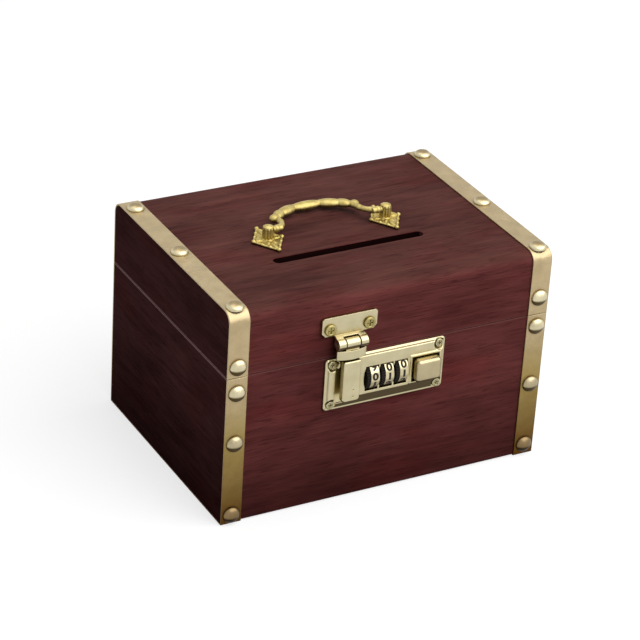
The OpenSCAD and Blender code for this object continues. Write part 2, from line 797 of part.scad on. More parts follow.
// The cover is crowned across its width and rounded at its lower corners
module crowned_cover() {
    crown_r = (pow(hasp_cover_w / 2, 2) + pow(cover_crown, 2)) / (2 * cover_crown);
    r = 1.5;
    intersection() {
        translate([0, cover_y + EPS, cover_back_z + hasp_cover_t - crown_r]) rotate([90, 0, 0])
            cylinder(r = crown_r, h = hasp_cover_len, $fn = 64);
        translate([0, 0, cover_back_z]) linear_extrude(hasp_cover_t) union() {
            foot_y = cover_y - hasp_cover_len;
            translate([-hasp_cover_w / 2, foot_y + r]) square([hasp_cover_w, hasp_cover_len - r + EPS]);
            translate([r - hasp_cover_w / 2, foot_y]) square([hasp_cover_w - 2 * r, 2 * r]);
            for (s = [-1, 1]) translate([s * (hasp_cover_w / 2 - r), foot_y + r]) circle(r = r);
        }
    }
}

module hasp_tongue() {
    web_z = hasp_out + knuckle_r - 0.4 - web_t;
    color(pale_brass) on_hasp() {
        difference() {
            union() {
                translate([-tongue_knuckle_w / 2, 0, hasp_out]) rotate([0, 90, 0])
                    cylinder(r = knuckle_r, h = tongue_knuckle_w);
                translate([-tongue_knuckle_w / 2, collar_y - EPS, web_z])
                    cube([tongue_knuckle_w, -collar_y + EPS, web_t]);
            }
            translate([-knuckle_w, 0, hasp_out]) rotate([0, 90, 0])
                cylinder(r = hasp_pin_r + hinge_fit, h = 2 * knuckle_w);
        }
        translate([-knuckle_w / 2, cover_y, cover_back_z]) cube([knuckle_w, collar_h, collar_t]);
        crowned_cover();
    }
}

// The eye behind the cover that the latch bolt passes through
module hasp_staple() {
    color(steel) on_hasp() translate([-staple_t / 2, staple_y, 0]) rotate([90, 0, 90])
        linear_extrude(staple_t) difference() {
            union() {
                translate([0, -dial_depth]) circle(r = staple_r);
                translate([-staple_r, -dial_depth]) square([2 * staple_r, cover_back_z + dial_depth]);
            }
            translate([0, -dial_depth]) circle(r = bolt_r + staple_eye_gap);
        }
}

// ---- handle ----

module at_posts() {
    for (s = [-1, 1]) on_top(handle_x + s * post_pitch / 2, -handle_forward) children();
}

// A lozenge with hollowed sides: the hollows are circles that dip into each side
module lozenge(half_w, half_l) {
    side = sqrt(half_w * half_w + half_l * half_l);
    hollow_r = 14;
    dip = 0.7;
    difference() {
        polygon([[half_w, 0], [0, half_l], [-half_w, 0], [0, -half_l]]);
        for (i = [-1, 1], j = [-1, 1])
            translate([i * (half_w / 2 + half_l / side * (hollow_r - dip)),
                j * (half_l / 2 + half_w / side * (hollow_r - dip))]) circle(r = hollow_r);
    }
}

// A low round knob with a coned top
module knob(r, h) {
    cylinder(r = r, h = h - r / 2);
    translate([0, 0, h - r / 2]) cylinder(r1 = r, r2 = r / 2, h = r / 2);
}

// The rosette has a raised rim, knobs on its tips and one on each side
module rosette() {
    half_w = rosette_w / 2;
    half_l = rosette_l / 2;
    rim = 0.45;
    bead_r = 0.7;
    difference() {
        linear_extrude(rosette_t + rim) lozenge(half_w, half_l);
        translate([0, 0, rosette_t]) linear_extrude(2 * rim) lozenge(half_w - 1.7, half_l - 2.6);
    }
    for (s = [-1, 1]) {
        translate([s * half_w, 0, 0]) knob(tip_knob_r, rosette_t + 2 * rim);
        translate([0, s * half_l, 0]) knob(tip_knob_r, rosette_t + 2 * rim);
        for (t = [-1, 1]) translate([s * half_w * 0.46, t * half_l * 0.46, 0])
            knob(bead_r, rosette_t + rim + 0.25);
    }
}

module post_column() {
    cylinder(r = post_r + 1.1, h = post_foot_h);
    cylinder(r = post_r, h = post_h - 1);
    translate([0, 0, post_h - 1.4]) cylinder(r = post_r + 0.5, h = 1.4, $fn = 6);
}

module handle_post(side) {
    on_top(handle_x + side * post_pitch / 2, -handle_forward) difference() {
        union() {
            rosette();
            post_column();
        }
        for (k = [0:7]) rotate(22.5 + 45 * k) translate([post_r + 0.15, 0, post_foot_h])
            cylinder(r = 0.45, h = pivot_up - bail_pin_r - 0.2 - post_foot_h, $fn = 16);
        translate([0, 0, pivot_up]) rotate([0, -side * 90, 0]) translate([0, 0, -1.6])
            cylinder(r = bail_pin_r + bail_fit, h = 4 * post_r);
        translate([0, 0, -1]) cylinder(r = post_screw_r, h = 1 + post_screw_reach);
    }
}

module handle_post_left() { color(gold) handle_post(-1); }
module handle_post_right() { color(gold) handle_post(1); }

// Screws from inside the lid up into the posts
module handle_screws() {
    color(steel) at_posts() {
        translate([0, 0, -top_t]) cylinder(r = post_screw_r, h = top_t + post_screw_reach);
        translate([0, 0, -top_t]) mirror([0, 0, 1]) domed_head(post_screw_head_r, post_screw_head_h, head_rim);
    }
}

// The bail's centre line, upright in its own UW plane: elbow, neck, shoulder and half the arch
function arc(u, w, r, from, to, steps) =
    [for (i = [0:steps - 1]) let (a = from + (to - from) * i / steps) [u + r * cos(a), w + r * sin(a)]];
elbow_path = arc(neck_u + elbow_r, elbow_r, elbow_r, 270, 180, 6);
neck_path = [for (i = [0:3]) [neck_u, elbow_r + (neck_len - elbow_r) * i / 4]];
shoulder_path = arc(shoulder_u, neck_len, shoulder_r, 0, shoulder_turn, 8);
arch_path = arc(0, arch_w, arch_r, shoulder_turn, 90, 14);
half_path = concat(elbow_path, neck_path, shoulder_path, arch_path);
function mirrored(path) = [for (i = [len(path) - 1:-1:0]) [-path[i][0], path[i][1]]];
bail_path = concat(half_path, [[0, arch_w + arch_r]], mirrored(half_path));

// The bar swells into three leaves along the arch
function swelling(angle, middle, half) = max(0, cos(90 * min(1, abs(angle - middle) / half)));
function bar_radius(p) =
    let (angle = atan2(p[0], p[1] - arch_w), leaves = [swelling(angle, 0, 13), swelling(abs(angle), 21, 8)])
    bail_r + (p[1] > neck_len ? (leaf_r - bail_r) * max(leaves) : 0);

// A closed bar swept along a path in the UW plane
module swept_bar(path) {
    sides = 10;
    last = len(path) - 1;
    points = [for (i = [0:last], j = [0:sides - 1])
        let (ahead = path[min(last, i + 1)] - path[max(0, i - 1)], side = [ahead[1], -ahead[0]] / norm(ahead),
            r = bar_radius(path[i]), a = 360 * j / sides)
        [path[i][0] + r * cos(a) * side[0], path[i][1] + r * cos(a) * side[1], r * sin(a)]];
    walls = [for (i = [0:last - 1], j = [0:sides - 1])
        let (k = (j + 1) % sides)
        [i * sides + j, i * sides + k, (i + 1) * sides + k, (i + 1) * sides + j]];
    ends = [[for (j = [sides - 1:-1:0]) j], [for (j = [0:sides - 1]) last * sides + j]];
    polyhedron(points, concat(walls, ends));
}

module bail() {
    pin_start = neck_u + elbow_r - 0.3;
    pin_end = post_pitch / 2 + 1.4;
    color(gold) on_top(handle_x, -handle_forward) translate([0, 0, pivot_up])
        rotate([-bail_lean, 0, 0]) {
            rotate([90, 0, 0]) swept_bar(bail_path);
            for (s = [-1, 1]) {
                translate([s * pin_start, 0, 0]) rotate([0, s * 90, 0]) {
                    cylinder(r = bail_pin_r, h = pin_end - pin_start);
                    cylinder(r = bail_r + 0.35, h = 1.2);
                }
                translate([s * (neck_u + 1.3), 0, neck_len + 1.6]) sphere(r = leaf_r - 0.1, $fn = 32);
            }
        }
}

// ---- hinges ----

// Side is -1 for the base's leaf, 1 for the lid's
module at_leaf_screws(side) {
    for (s = [-1, 1]) translate([s * hinge_w / 4, side * leaf_h * 0.62, 0]) children();
}

module barrel_piece(x, w, bore) {
    translate([x, 0, hinge_out]) rotate([0, 90, 0]) difference() {
        cylinder(r = barrel_r, h = w);
        translate([0, 0, -1]) cylinder(r = bore, h = w + 2);
    }
}

module leaf_sheet(side, x, w, from) {
    translate([x, side < 0 ? -leaf_h : from, 0]) cube([w, leaf_h - from, leaf_t]);
}

module hinge_base_leaf(side) {
    clear_y = barrel_r + 0.2;
    on_hinge(side) difference() {
        union() {
            leaf_sheet(-1, -hinge_w / 2, hinge_w, clear_y);
            for (x = [-hinge_w / 2, hinge_w / 2 - hinge_knuckle_w + hinge_knuckle_gap]) {
                barrel_piece(x, hinge_knuckle_w - hinge_knuckle_gap, hinge_pin_r);
                leaf_sheet(-1, x, hinge_knuckle_w - hinge_knuckle_gap, seam_gap);
            }
        }
        translate([-hinge_w, 0, hinge_out]) rotate([0, 90, 0]) cylinder(r = hinge_pin_r, h = 2 * hinge_w);
        at_leaf_screws(-1) translate([0, 0, -1]) cylinder(r = screw_r, h = 2 + leaf_t);
    }
}

module hinge_lid_leaf(side) {
    clear_y = barrel_r + 0.2;
    on_hinge(side) difference() {
        union() {
            leaf_sheet(1, -hinge_w / 2, hinge_w, clear_y);
            barrel_piece(-hinge_knuckle_w / 2, hinge_knuckle_w, hinge_pin_r + hinge_fit);
            leaf_sheet(1, -hinge_knuckle_w / 2, hinge_knuckle_w, seam_gap);
        }
        translate([-hinge_w, 0, hinge_out]) rotate([0, 90, 0])
            cylinder(r = hinge_pin_r + hinge_fit, h = 2 * hinge_w);
        at_leaf_screws(1) translate([0, 0, -1]) cylinder(r = screw_r, h = 2 + leaf_t);
    }
}

module hinge_pin(side) {
    on_hinge(side) translate([-hinge_w / 2, 0, hinge_out]) rotate([0, 90, 0])
        cylinder(r = hinge_pin_r, h = hinge_w);
}

module leaf_screws(side) {
    for (hinge = [-1, 1]) on_hinge(hinge) at_leaf_screws(side) small_screw(leaf_t);
}

module hinge_base_leaf_left() { color(gold) hinge_base_leaf(-1); }
module hinge_base_leaf_right() { color(gold) hinge_base_leaf(1); }
module hinge_lid_leaf_left() { color(gold) hinge_lid_leaf(-1); }
module hinge_lid_leaf_right() { color(gold) hinge_lid_leaf(1); }
module hinge_pin_left() { color(gold) hinge_pin(-1); }
module hinge_pin_right() { color(gold) hinge_pin(1); }
module hinge_base_screws() { color(gold) leaf_screws(-1); }
module hinge_lid_screws() { color(gold) leaf_screws(1); }

placed() base_front();
placed() base_back();
placed() base_left();
placed() base_right();
placed() base_floor();
placed() base_strap_left();
placed() base_strap_right();
placed() base_studs();
placed() hinge_base_leaf_left();
placed() hinge_base_leaf_right();
placed() hinge_pin_left();
placed() hinge_pin_right();
placed() hinge_base_screws();
placed() lock_face_plate();
placed() lock_back_cover();
placed() lock_plate_screws();
placed() detent_spring();
placed() dial_1();
placed() dial_2();
placed() dial_3();
placed() code_sleeve_1();
placed() code_sleeve_2();
placed() code_sleeve_3();
placed() push_button();
placed() button_springs();
placed() latch_bolt();
placed() bolt_spring();
placed() lid_top();
placed() lid_front();
placed() lid_back();
placed() lid_left();
placed() lid_right();
placed() lid_strap_left();
placed() lid_strap_right();
placed() lid_studs();
placed() hinge_lid_leaf_left();
placed() hinge_lid_leaf_right();
placed() hinge_lid_screws();
placed() hasp_plate();
placed() hasp_screws();
placed() hasp_pin();
placed() hasp_tongue();
placed() hasp_staple();
placed() handle_post_left();
placed() handle_post_right();
placed() handle_screws();
placed() bail();
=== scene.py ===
# %% [markdown]
# # A wooden money box with brass fittings
# The box is a small mahogany-red chest: a deep base, a shallow lid, a brass strap wrapped round
# each end, domed nails, a cast handle and a combination lock. Its solids come from the packed
# model, already in place and in metres, so this lesson is about what a maker sees and feels:
# grain, lacquer, polish, castings and numbers.

# %% Load the solids
import json
import math
import bpy
from mathutils import Matrix, Vector

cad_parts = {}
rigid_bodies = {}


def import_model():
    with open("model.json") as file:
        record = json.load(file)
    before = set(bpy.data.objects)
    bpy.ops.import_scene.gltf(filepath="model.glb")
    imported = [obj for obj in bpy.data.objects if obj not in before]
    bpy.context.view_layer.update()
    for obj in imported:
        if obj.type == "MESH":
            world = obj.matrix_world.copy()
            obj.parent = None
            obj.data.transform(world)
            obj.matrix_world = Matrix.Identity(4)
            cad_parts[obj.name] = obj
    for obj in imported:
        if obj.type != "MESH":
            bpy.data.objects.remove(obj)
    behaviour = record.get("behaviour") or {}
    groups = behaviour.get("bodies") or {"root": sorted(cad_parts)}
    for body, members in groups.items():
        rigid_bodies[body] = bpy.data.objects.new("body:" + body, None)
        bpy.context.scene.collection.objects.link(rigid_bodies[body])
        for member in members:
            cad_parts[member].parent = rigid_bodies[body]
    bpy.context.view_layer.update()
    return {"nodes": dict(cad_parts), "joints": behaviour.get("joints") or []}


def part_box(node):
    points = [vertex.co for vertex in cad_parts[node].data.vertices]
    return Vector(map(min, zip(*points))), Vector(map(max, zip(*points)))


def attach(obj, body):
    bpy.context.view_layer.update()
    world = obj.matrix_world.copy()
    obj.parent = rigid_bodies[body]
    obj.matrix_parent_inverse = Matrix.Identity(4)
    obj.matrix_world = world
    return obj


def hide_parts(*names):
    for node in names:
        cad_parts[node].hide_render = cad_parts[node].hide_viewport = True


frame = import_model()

MM = 0.001
FRONT_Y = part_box("base_front")[0].y
SEAM_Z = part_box("base_front")[1].z   # where the lid meets the base
TOP_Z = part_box("lid_top")[1].z
print("solids:", len(frame["nodes"]))

# %% [markdown]
# ## The camera
# The viewpoint is given as a turn round the box, a height above the floor and a small roll. A
# long lens keeps the box's edges nearly parallel. Blender's camera looks along its own -Z with
# +Y up, so three axes and a place make its matrix.

# %% Aim the camera
TURN, HEIGHT, ROLL = math.radians(-29.80), math.radians(28.53), math.radians(3.66)
LENS_PIXELS, IMAGE_PIXELS, SENSOR = 2656.5, 640, 36.0
BOX_IN_VIEW = Vector((-0.00030, 0.04465, 1.12276))   # the boards' middle: right, down and ahead
boards_middle = Vector((0, (FRONT_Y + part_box("base_back")[1].y) / 2, 0))


def view_axes(turn, height, roll):
    """Right, up and backward axes of a camera that is turned, raised and rolled."""
    reach = math.cos(height)
    backward = Vector((math.sin(turn) * reach, -math.cos(turn) * reach, math.sin(height)))
    right = (-backward).cross(Vector((0, 0, 1))).normalized()
    up = right.cross(-backward)
    rolled_right = math.cos(roll) * right + math.sin(roll) * up
    rolled_up = math.cos(roll) * up - math.sin(roll) * right
    return rolled_right, rolled_up, backward


right, up, backward = view_axes(TURN, HEIGHT, ROLL)
place = boards_middle - right * BOX_IN_VIEW.x + up * BOX_IN_VIEW.y + backward * BOX_IN_VIEW.z
lens = bpy.data.cameras.new("camera")
lens.sensor_width, lens.lens = SENSOR, LENS_PIXELS / IMAGE_PIXELS * SENSOR
lens.clip_start, lens.clip_end = 0.01, 20
camera = bpy.data.objects.new("camera", lens)
bpy.context.collection.objects.link(camera)
camera.matrix_world = Matrix.Translation(place) @ Matrix((right, up, backward)).transposed().to_4x4()
bpy.context.scene.camera = camera
print("camera", [round(c, 3) for c in place], "lens", round(lens.lens, 1), "mm")

# %% [markdown]
# ## Selecting and finishing by code
# Blender's operators act on whatever is selected. So every piece starts from nothing selected,
# faces are picked by where they are or which way they look, and a finished piece has its place
# in its mesh, with its object left at the origin.

# %% Small helpers for modelling
def select_none():
    if bpy.context.object and bpy.context.object.mode != "OBJECT":
        bpy.ops.object.mode_set(mode="OBJECT")
    bpy.ops.object.select_all(action="DESELECT")


def make_active(piece):
    select_none()
    piece.select_set(True)
    bpy.context.view_layer.objects.active = piece


def settle(piece, name, body, finish, angle=40):
    """Put the piece's place into its mesh, shade it, and let it ride on its body."""
    make_active(piece)
    bpy.ops.object.transform_apply(location=True, rotation=True, scale=True)
    bpy.ops.object.shade_smooth_by_angle(angle=math.radians(angle))
    piece.name = piece.data.name = name
    piece.data.materials.clear()
    piece.data.materials.append(finish)
    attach(piece, body)
    print(name, "faces:", len(piece.data.polygons))


# %% [markdown]
# ## Shader maths as expressions
# A finish is a graph of nodes, but maths drawn as boxes is hard to read. Here one small class
# wraps an output socket and overloads +, - and *, so that `0.42 + fibres * 0.12` adds its Math
# nodes by itself. A second one holds the graph, and its `add` makes any node.

# %% A socket to calculate with, and its graph
class Signal:
    """One output socket of a node, as a number in an expression."""

    def __init__(self, graph, socket):
        self.graph, self.socket = graph, socket

    def maths(self, operation, *values, clamp=False):
        settings = {"operation": operation, "use_clamp": clamp}
        return self.graph.add("Math", settings, dict(enumerate(values)))

    def __add__(self, other):
        return self.maths("ADD", self, other)

    def __radd__(self, other):
        return self.maths("ADD", other, self)

    def __sub__(self, other):
        return self.maths("SUBTRACT", self, other)

    def __mul__(self, other):
        return self.maths("MULTIPLY", self, other)

    def __abs__(self):
        return self.maths("ABSOLUTE", self)

    def clamped(self):
        return self.maths("ADD", self, 0, clamp=True)


class Graph:
    """A tree of nodes that grows by itself."""

    def __init__(self, tree):
        self.tree = tree

    def add(self, kind, settings=None, inputs=None, output=0):
        """One node, as the signal that comes out of it."""
        node = self.tree.nodes.new("ShaderNode" + kind)
        for key, value in (settings or {}).items():
            setattr(node, key, value)
        for key, value in (inputs or {}).items():
            self.feed(node.inputs[key], value)
        return Signal(self, node.outputs[output])

    def feed(self, socket, value):
        if isinstance(value, Signal):
            self.tree.links.new(value.socket, socket)
        else:
            socket.default_value = value

    def tint(self, factor, low, high, blend="MIX"):
        """A colour between two colours, each of them fixed or a signal."""
        low, high = (c if isinstance(c, Signal) else (*c, 1) for c in (low, high))
        return self.add("Mix", {"data_type": "RGBA", "blend_type": blend}, {0: factor, 6: low, 7: high},
                        output=2)

    def seen(self):
        """1 for the camera, mirrors and glass, 0 for light that bounces about."""
        rays = ("Is Camera Ray", "Is Glossy Ray", "Is Transmission Ray")
        camera_ray, glossy_ray, glass_ray = (self.add("LightPath", output=ray) for ray in rays)
        return (camera_ray + glossy_ray + glass_ray).clamped()


print("sockets understand + - * and abs")

# %% [markdown]
# ## Materials that build themselves
# A finish is a graph that ends in a material's shader. Its methods are what the wood and the
# metals share: noise, darker parts, crevices and soft edges. Lengths are in millimetres.

# %% A material with the patterns that finishes share
class Finish(Graph):
    """A material with a Principled shader."""

    def __init__(self, name, **constants):
        self.material = bpy.data.materials.new(name)
        self.material.use_nodes = True
        super().__init__(self.material.node_tree)
        self.shader = self.tree.nodes["Principled BSDF"]
        self.give(**constants)

    def give(self, **sockets):
        """Feed the shader's own sockets, such as Base_Color."""
        for name, value in sockets.items():
            self.feed(self.shader.inputs[name.replace("_", " ")], value)

    def place(self, scale=(1, 1, 1)):
        """Object coordinates in millimetres, stretched by scale."""
        here = self.add("TexCoord", output="Object")
        return self.add("Mapping", inputs={"Vector": here, "Scale": [s / MM for s in scale]})

    def parts(self, vector):
        """The three numbers of a vector."""
        split = self.add("SeparateXYZ", inputs={"Vector": vector})
        return [Signal(self, output) for output in split.socket.node.outputs]

    def slope(self):
        """Which way the surface looks: 1 straight up, 0 level, -1 straight down."""
        return self.parts(self.add("TexCoord", output="Normal"))[2]

    def noise(self, where, size, detail=3, roughness=0.5, distortion=0.0):
        """Soft noise from 0 to 1 whose blobs are about that many millimetres across."""
        return self.add("TexNoise", inputs={"Vector": where, "Scale": 1 / size, "Detail": detail,
                                            "Roughness": roughness, "Distortion": distortion})

    def between(self, signal, low, high):
        """Stretch a part of a signal's range to 0..1."""
        return self.add("MapRange", {"clamp": True}, {0: signal, 1: low, 2: high})

    def darken(self, colour, amount, by):
        """Multiply a colour by another where the amount is 1."""
        return self.tint(amount, colour, by, blend="MULTIPLY")

    def crevices(self, reach):
        """Where other surfaces come within a reach in millimetres, where shade falls: a mask for painted
        shade.
        """
        near = self.add("AmbientOcclusion", {"samples": 6}, {"Distance": reach * MM}, output="AO")
        return self.between(near, 0.92, 0.35)

    def soft_edges(self, radius):
        """A normal that rounds sharp edges by a radius in millimetres."""
        return self.add("Bevel", {"samples": 6}, {"Radius": radius * MM})

    def bump(self, height, strength, distance, under):
        """A normal that follows a height, on top of the normal under it."""
        return self.add("Bump", inputs={"Height": height, "Strength": strength,
                                        "Distance": distance * MM, "Normal": under})


print("a finish can", ", ".join(name for name in vars(Finish) if not name.startswith("_")))

# %% [markdown]
# ## The studio's floor
# The floor is paper. The camera, mirrors and glass see it nearly white, with a glow of its own,
# but to light that bounces about it is a darker grey, so it doesn't brighten the box from below.

# %% Lay the floor
FLOOR_SIZE = 6
FLOOR_FOR_LIGHT, FLOOR_FOR_EYES, FLOOR_GLOW = (0.14, 0.135, 0.13), (0.44, 0.44, 0.44), (0.66, 0.66, 0.66)
select_none()
bpy.ops.mesh.primitive_plane_add(size=FLOOR_SIZE, location=(0, 0, 0))
floor = bpy.context.object
floor.name = "floor"
paper = Finish("paper", Roughness=0.9, Specular_IOR_Level=0.1)
seen = paper.seen()
paper.give(Base_Color=paper.tint(seen, FLOOR_FOR_LIGHT, FLOOR_FOR_EYES),
           Emission_Color=paper.tint(seen, (0, 0, 0), FLOOR_GLOW), Emission_Strength=1.0)
floor.data.materials.append(paper.material)
print("floor", FLOOR_SIZE, "m wide")

# %% [markdown]
# ## The room
# The room gives an even, dim light. The camera, mirrors and glass see it as plain white, which
# keeps the background pale without burning out the box.

# %% Light the room
ROOM_FOR_LIGHT, ROOM_FOR_EYES = 0.17, 1.0
world = bpy.data.worlds.new("studio")
world.use_nodes = True
bpy.context.scene.world = world
room = Graph(world.node_tree)
strength = room.add("MapRange", inputs={"Value": room.seen(), "To Min": ROOM_FOR_LIGHT,
                                        "To Max": ROOM_FOR_EYES})
background = room.tree.nodes["Background"]
room.feed(background.inputs["Color"], (1, 1, 1, 1))
room.feed(background.inputs["Strength"], strength)
bpy.context.scene.view_settings.view_transform = "Standard"
print("room nodes:", len(room.tree.nodes))

# %% [markdown]
# ## The lamps
# A big soft lamp above the right shoulder models the front and the lid, and a weak one overhead,
# behind the box, lifts the brass on top. An area lamp shines along its own -Z.

# %% Hang two soft lamps
def soft_lamp(name, at, target, size, watts):
    lamp = bpy.data.lights.new(name, "AREA")
    lamp.shape, lamp.size, lamp.energy = "SQUARE", size, watts
    holder = bpy.data.objects.new(name, lamp)
    bpy.context.collection.objects.link(holder)
    aim = Vector(target) - Vector(at)
    holder.matrix_world = Matrix.Translation(at) @ aim.to_track_quat("-Z", "Y").to_matrix().to_4x4()
    print(name, watts, "W")


soft_lamp("key", at=(0.46, -0.62, 0.98), target=(0, 0, 0.06), size=1.7, watts=21)
soft_lamp("overhead", at=(-0.1, 0.35, 1.2), target=(0, 0, 0.09), size=0.7, watts=3)

# %% [markdown]
# ## Stained wood
# The boards are a plain close-grained wood under mahogany-red stain and satin lacquer. A few
# noises make it, all stretched along the grain: wide soft clouds, some of them redder, streaks,
# fine fibres, and short dark pores that also dent the surface. The end boards' grain runs front
# to back, so the stretch follows each board, not the box. Painted shade darkens the box towards
# its foot. The join between base and lid has a paler line that is partly worn edge and partly a
# painted highlight, and the inside of the coin slot is painted dark as painted shade.

# %% A wood finish
SLOT_X, SLOT_Y = (-36.0, 31.0), (-20.2, -14.2)   # where the coin slot is dark inside, in mm
RED_CLOUD, PORE = (0.98, 0.72, 0.74), (0.35, 0.28, 0.28)
# Painted shade: towards the box's foot, and inside the coin slot.
PAINTED_FOOT_SHADE, PAINTED_SLOT_SHADE = (0.44, 0.41, 0.41), (0.08, 0.08, 0.08)
FOOT_TOP = 0.62   # the shade of the foot starts this far up the base
SEAM_UP, SEAM_FADE = 0.1, (0.75, 0.35)   # the seam's pale line: its middle, and where it fades


def stained_wood(name, grain, deep, pale, slot=False, gloss=0.015, seam_wear_and_sheen_tone=(0.20, 0.085, 0.075),
                 seam_wear_and_sheen_share=0.55, lit_wall_tones=None):
    """Wood whose fibres run along the grain axis. Its upright faces may have two tones of their
    own, painted brighter for how the light falls on upright faces."""
    finish = Finish(name, Specular_IOR_Level=gloss)

    def stretched(length):
        return finish.place([1 / length if axis == grain else 1 for axis in "XYZ"])

    clouds = finish.noise(stretched(1.8), size=22, detail=2)
    streaks = finish.noise(stretched(9), size=3.4, detail=4, roughness=0.6, distortion=0.5)
    fibres = finish.noise(stretched(40), size=0.45, detail=3, roughness=0.6)
    pores = finish.between(finish.noise(stretched(12), size=0.6, detail=2), 0.58, 0.70)
    ruddy = finish.between(finish.noise(stretched(2.5), size=15, detail=2), 0.50, 0.68)
    tone = finish.between(clouds * 0.45 + streaks * 0.5 + fibres * 0.35, 0.44, 0.86)
    stain = finish.darken(finish.tint(tone, deep, pale), ruddy * 0.7, RED_CLOUD)
    slope = finish.slope()
    # Painted light: upright faces take the front's brighter tones, the top keeps darker, browner ones.
    if lit_wall_tones:
        stain = finish.tint(finish.between(slope, 0.30, 0.85), finish.tint(tone, *lit_wall_tones), stain)
    stain = finish.darken(stain, pores * 0.5, PORE)
    x, y, height = finish.parts(finish.place())
    # Painted shade: the wood is darker towards the box's foot.
    stain = finish.darken(stain, finish.between(height, FOOT_TOP * SEAM_Z / MM, 0), PAINTED_FOOT_SHADE)
    # The paler line along the join is partly worn edge and partly a painted highlight on the lacquered
    # edges.
    seam = finish.between(abs(height - SEAM_Z / MM - SEAM_UP), *SEAM_FADE)
    upright = finish.between(slope * slope, 0.30, 0.10)
    stain = finish.tint(seam * upright * seam_wear_and_sheen_share, stain, seam_wear_and_sheen_tone)
    # Painted shade: the coin slot's inner walls are painted almost black.
    if slot:
        well = finish.between(height, TOP_Z / MM - 0.15, TOP_Z / MM - 0.45)
        for where, (low, high) in ((x, SLOT_X), (y, SLOT_Y)):
            well = well * finish.between(where, low, low + 0.1) * finish.between(where, high, high - 0.1)
        stain = finish.darken(stain, well, PAINTED_SLOT_SHADE)
    grain_relief = finish.bump(fibres * 0.4 + streaks * 0.3 - pores * 0.6, strength=0.35, distance=0.12,
                               under=finish.soft_edges(0.7))
    finish.give(Base_Color=stain, Roughness=0.42 + fibres * 0.12 + pores * 0.15, Normal=grain_relief)
    return finish.material


print("the seam's line is", round(SEAM_Z / MM, 1), "mm up")

# %% [markdown]
# ## Three boards from one recipe
# The boards' tones are painted face by face for how the light falls, as lit and shaded copies of
# one stain. The lid's top takes the light from above and is painted a browner red than the front,
# which is the brightest red. The ends turn away from the lamp: they are painted duller tones, get
# no gloss, and their join shows more.

# %% Stain the boards
# Lit and shaded tones of one stain, painted per face: front, lid top and ends.
FRONT_TONES = (0.069, 0.0168, 0.016), (0.211, 0.059, 0.055)
lid_wood = stained_wood("lid_wood", "X", (0.041, 0.0127, 0.011), (0.133, 0.048, 0.040), slot=True,
                        lit_wall_tones=FRONT_TONES)
long_wood = stained_wood("long_wood", "X", *FRONT_TONES)
end_wood = stained_wood("end_wood", "Y", (0.064, 0.0235, 0.023), (0.19, 0.071, 0.071), gloss=0.0,
                        seam_wear_and_sheen_tone=(0.70, 0.42, 0.42), seam_wear_and_sheen_share=0.9)
print("wood finishes:", lid_wood.name, long_wood.name, end_wood.name)

# %% [markdown]
# ## A metal
# Metal shows its surroundings, so what tells one brass from another is how rough it is and how
# its surface waves. Its colour is painted darker where it looks down or straight up (its crown),
# as painted shade and dark reflections, and in crevices, as painted shade. Towards the foot of the
# box it is painted darker and more golden, as painted shade and reflection. Between metal faces the
# light bounces from brass to brass, so narrow places are painted warmer and darker: painted bounce
# light and shade.

# %% A metal finish
# Painted shade and reflections: below, on the crown, at the foot and more golden there; painted bounce light
# and shade in crevices, warm and dark.
PAINTED_SHADE_BELOW, PAINTED_SHADE_CROWN, PAINTED_SHADE_FOOT = (0.12, 0.09, 0.045), (0.52, 0.44, 0.35), (0.20, 0.10, 0.01)
WARM_BOUNCE_SHADE, CREVICE_SHADE, PAINTED_GOLDEN_SHADE = (0.88, 0.74, 0.22), (0.20, 0.13, 0.05), (0.98, 0.95, 0.60)
WARM_BOUNCE_REACH, CREVICE_SHADE_REACH = 3.5, 1.3
GOLD_FROM, GOLD_FULL, FOOT_FROM = 0.60, 0.40, 0.66   # heights, as shares of the box's own


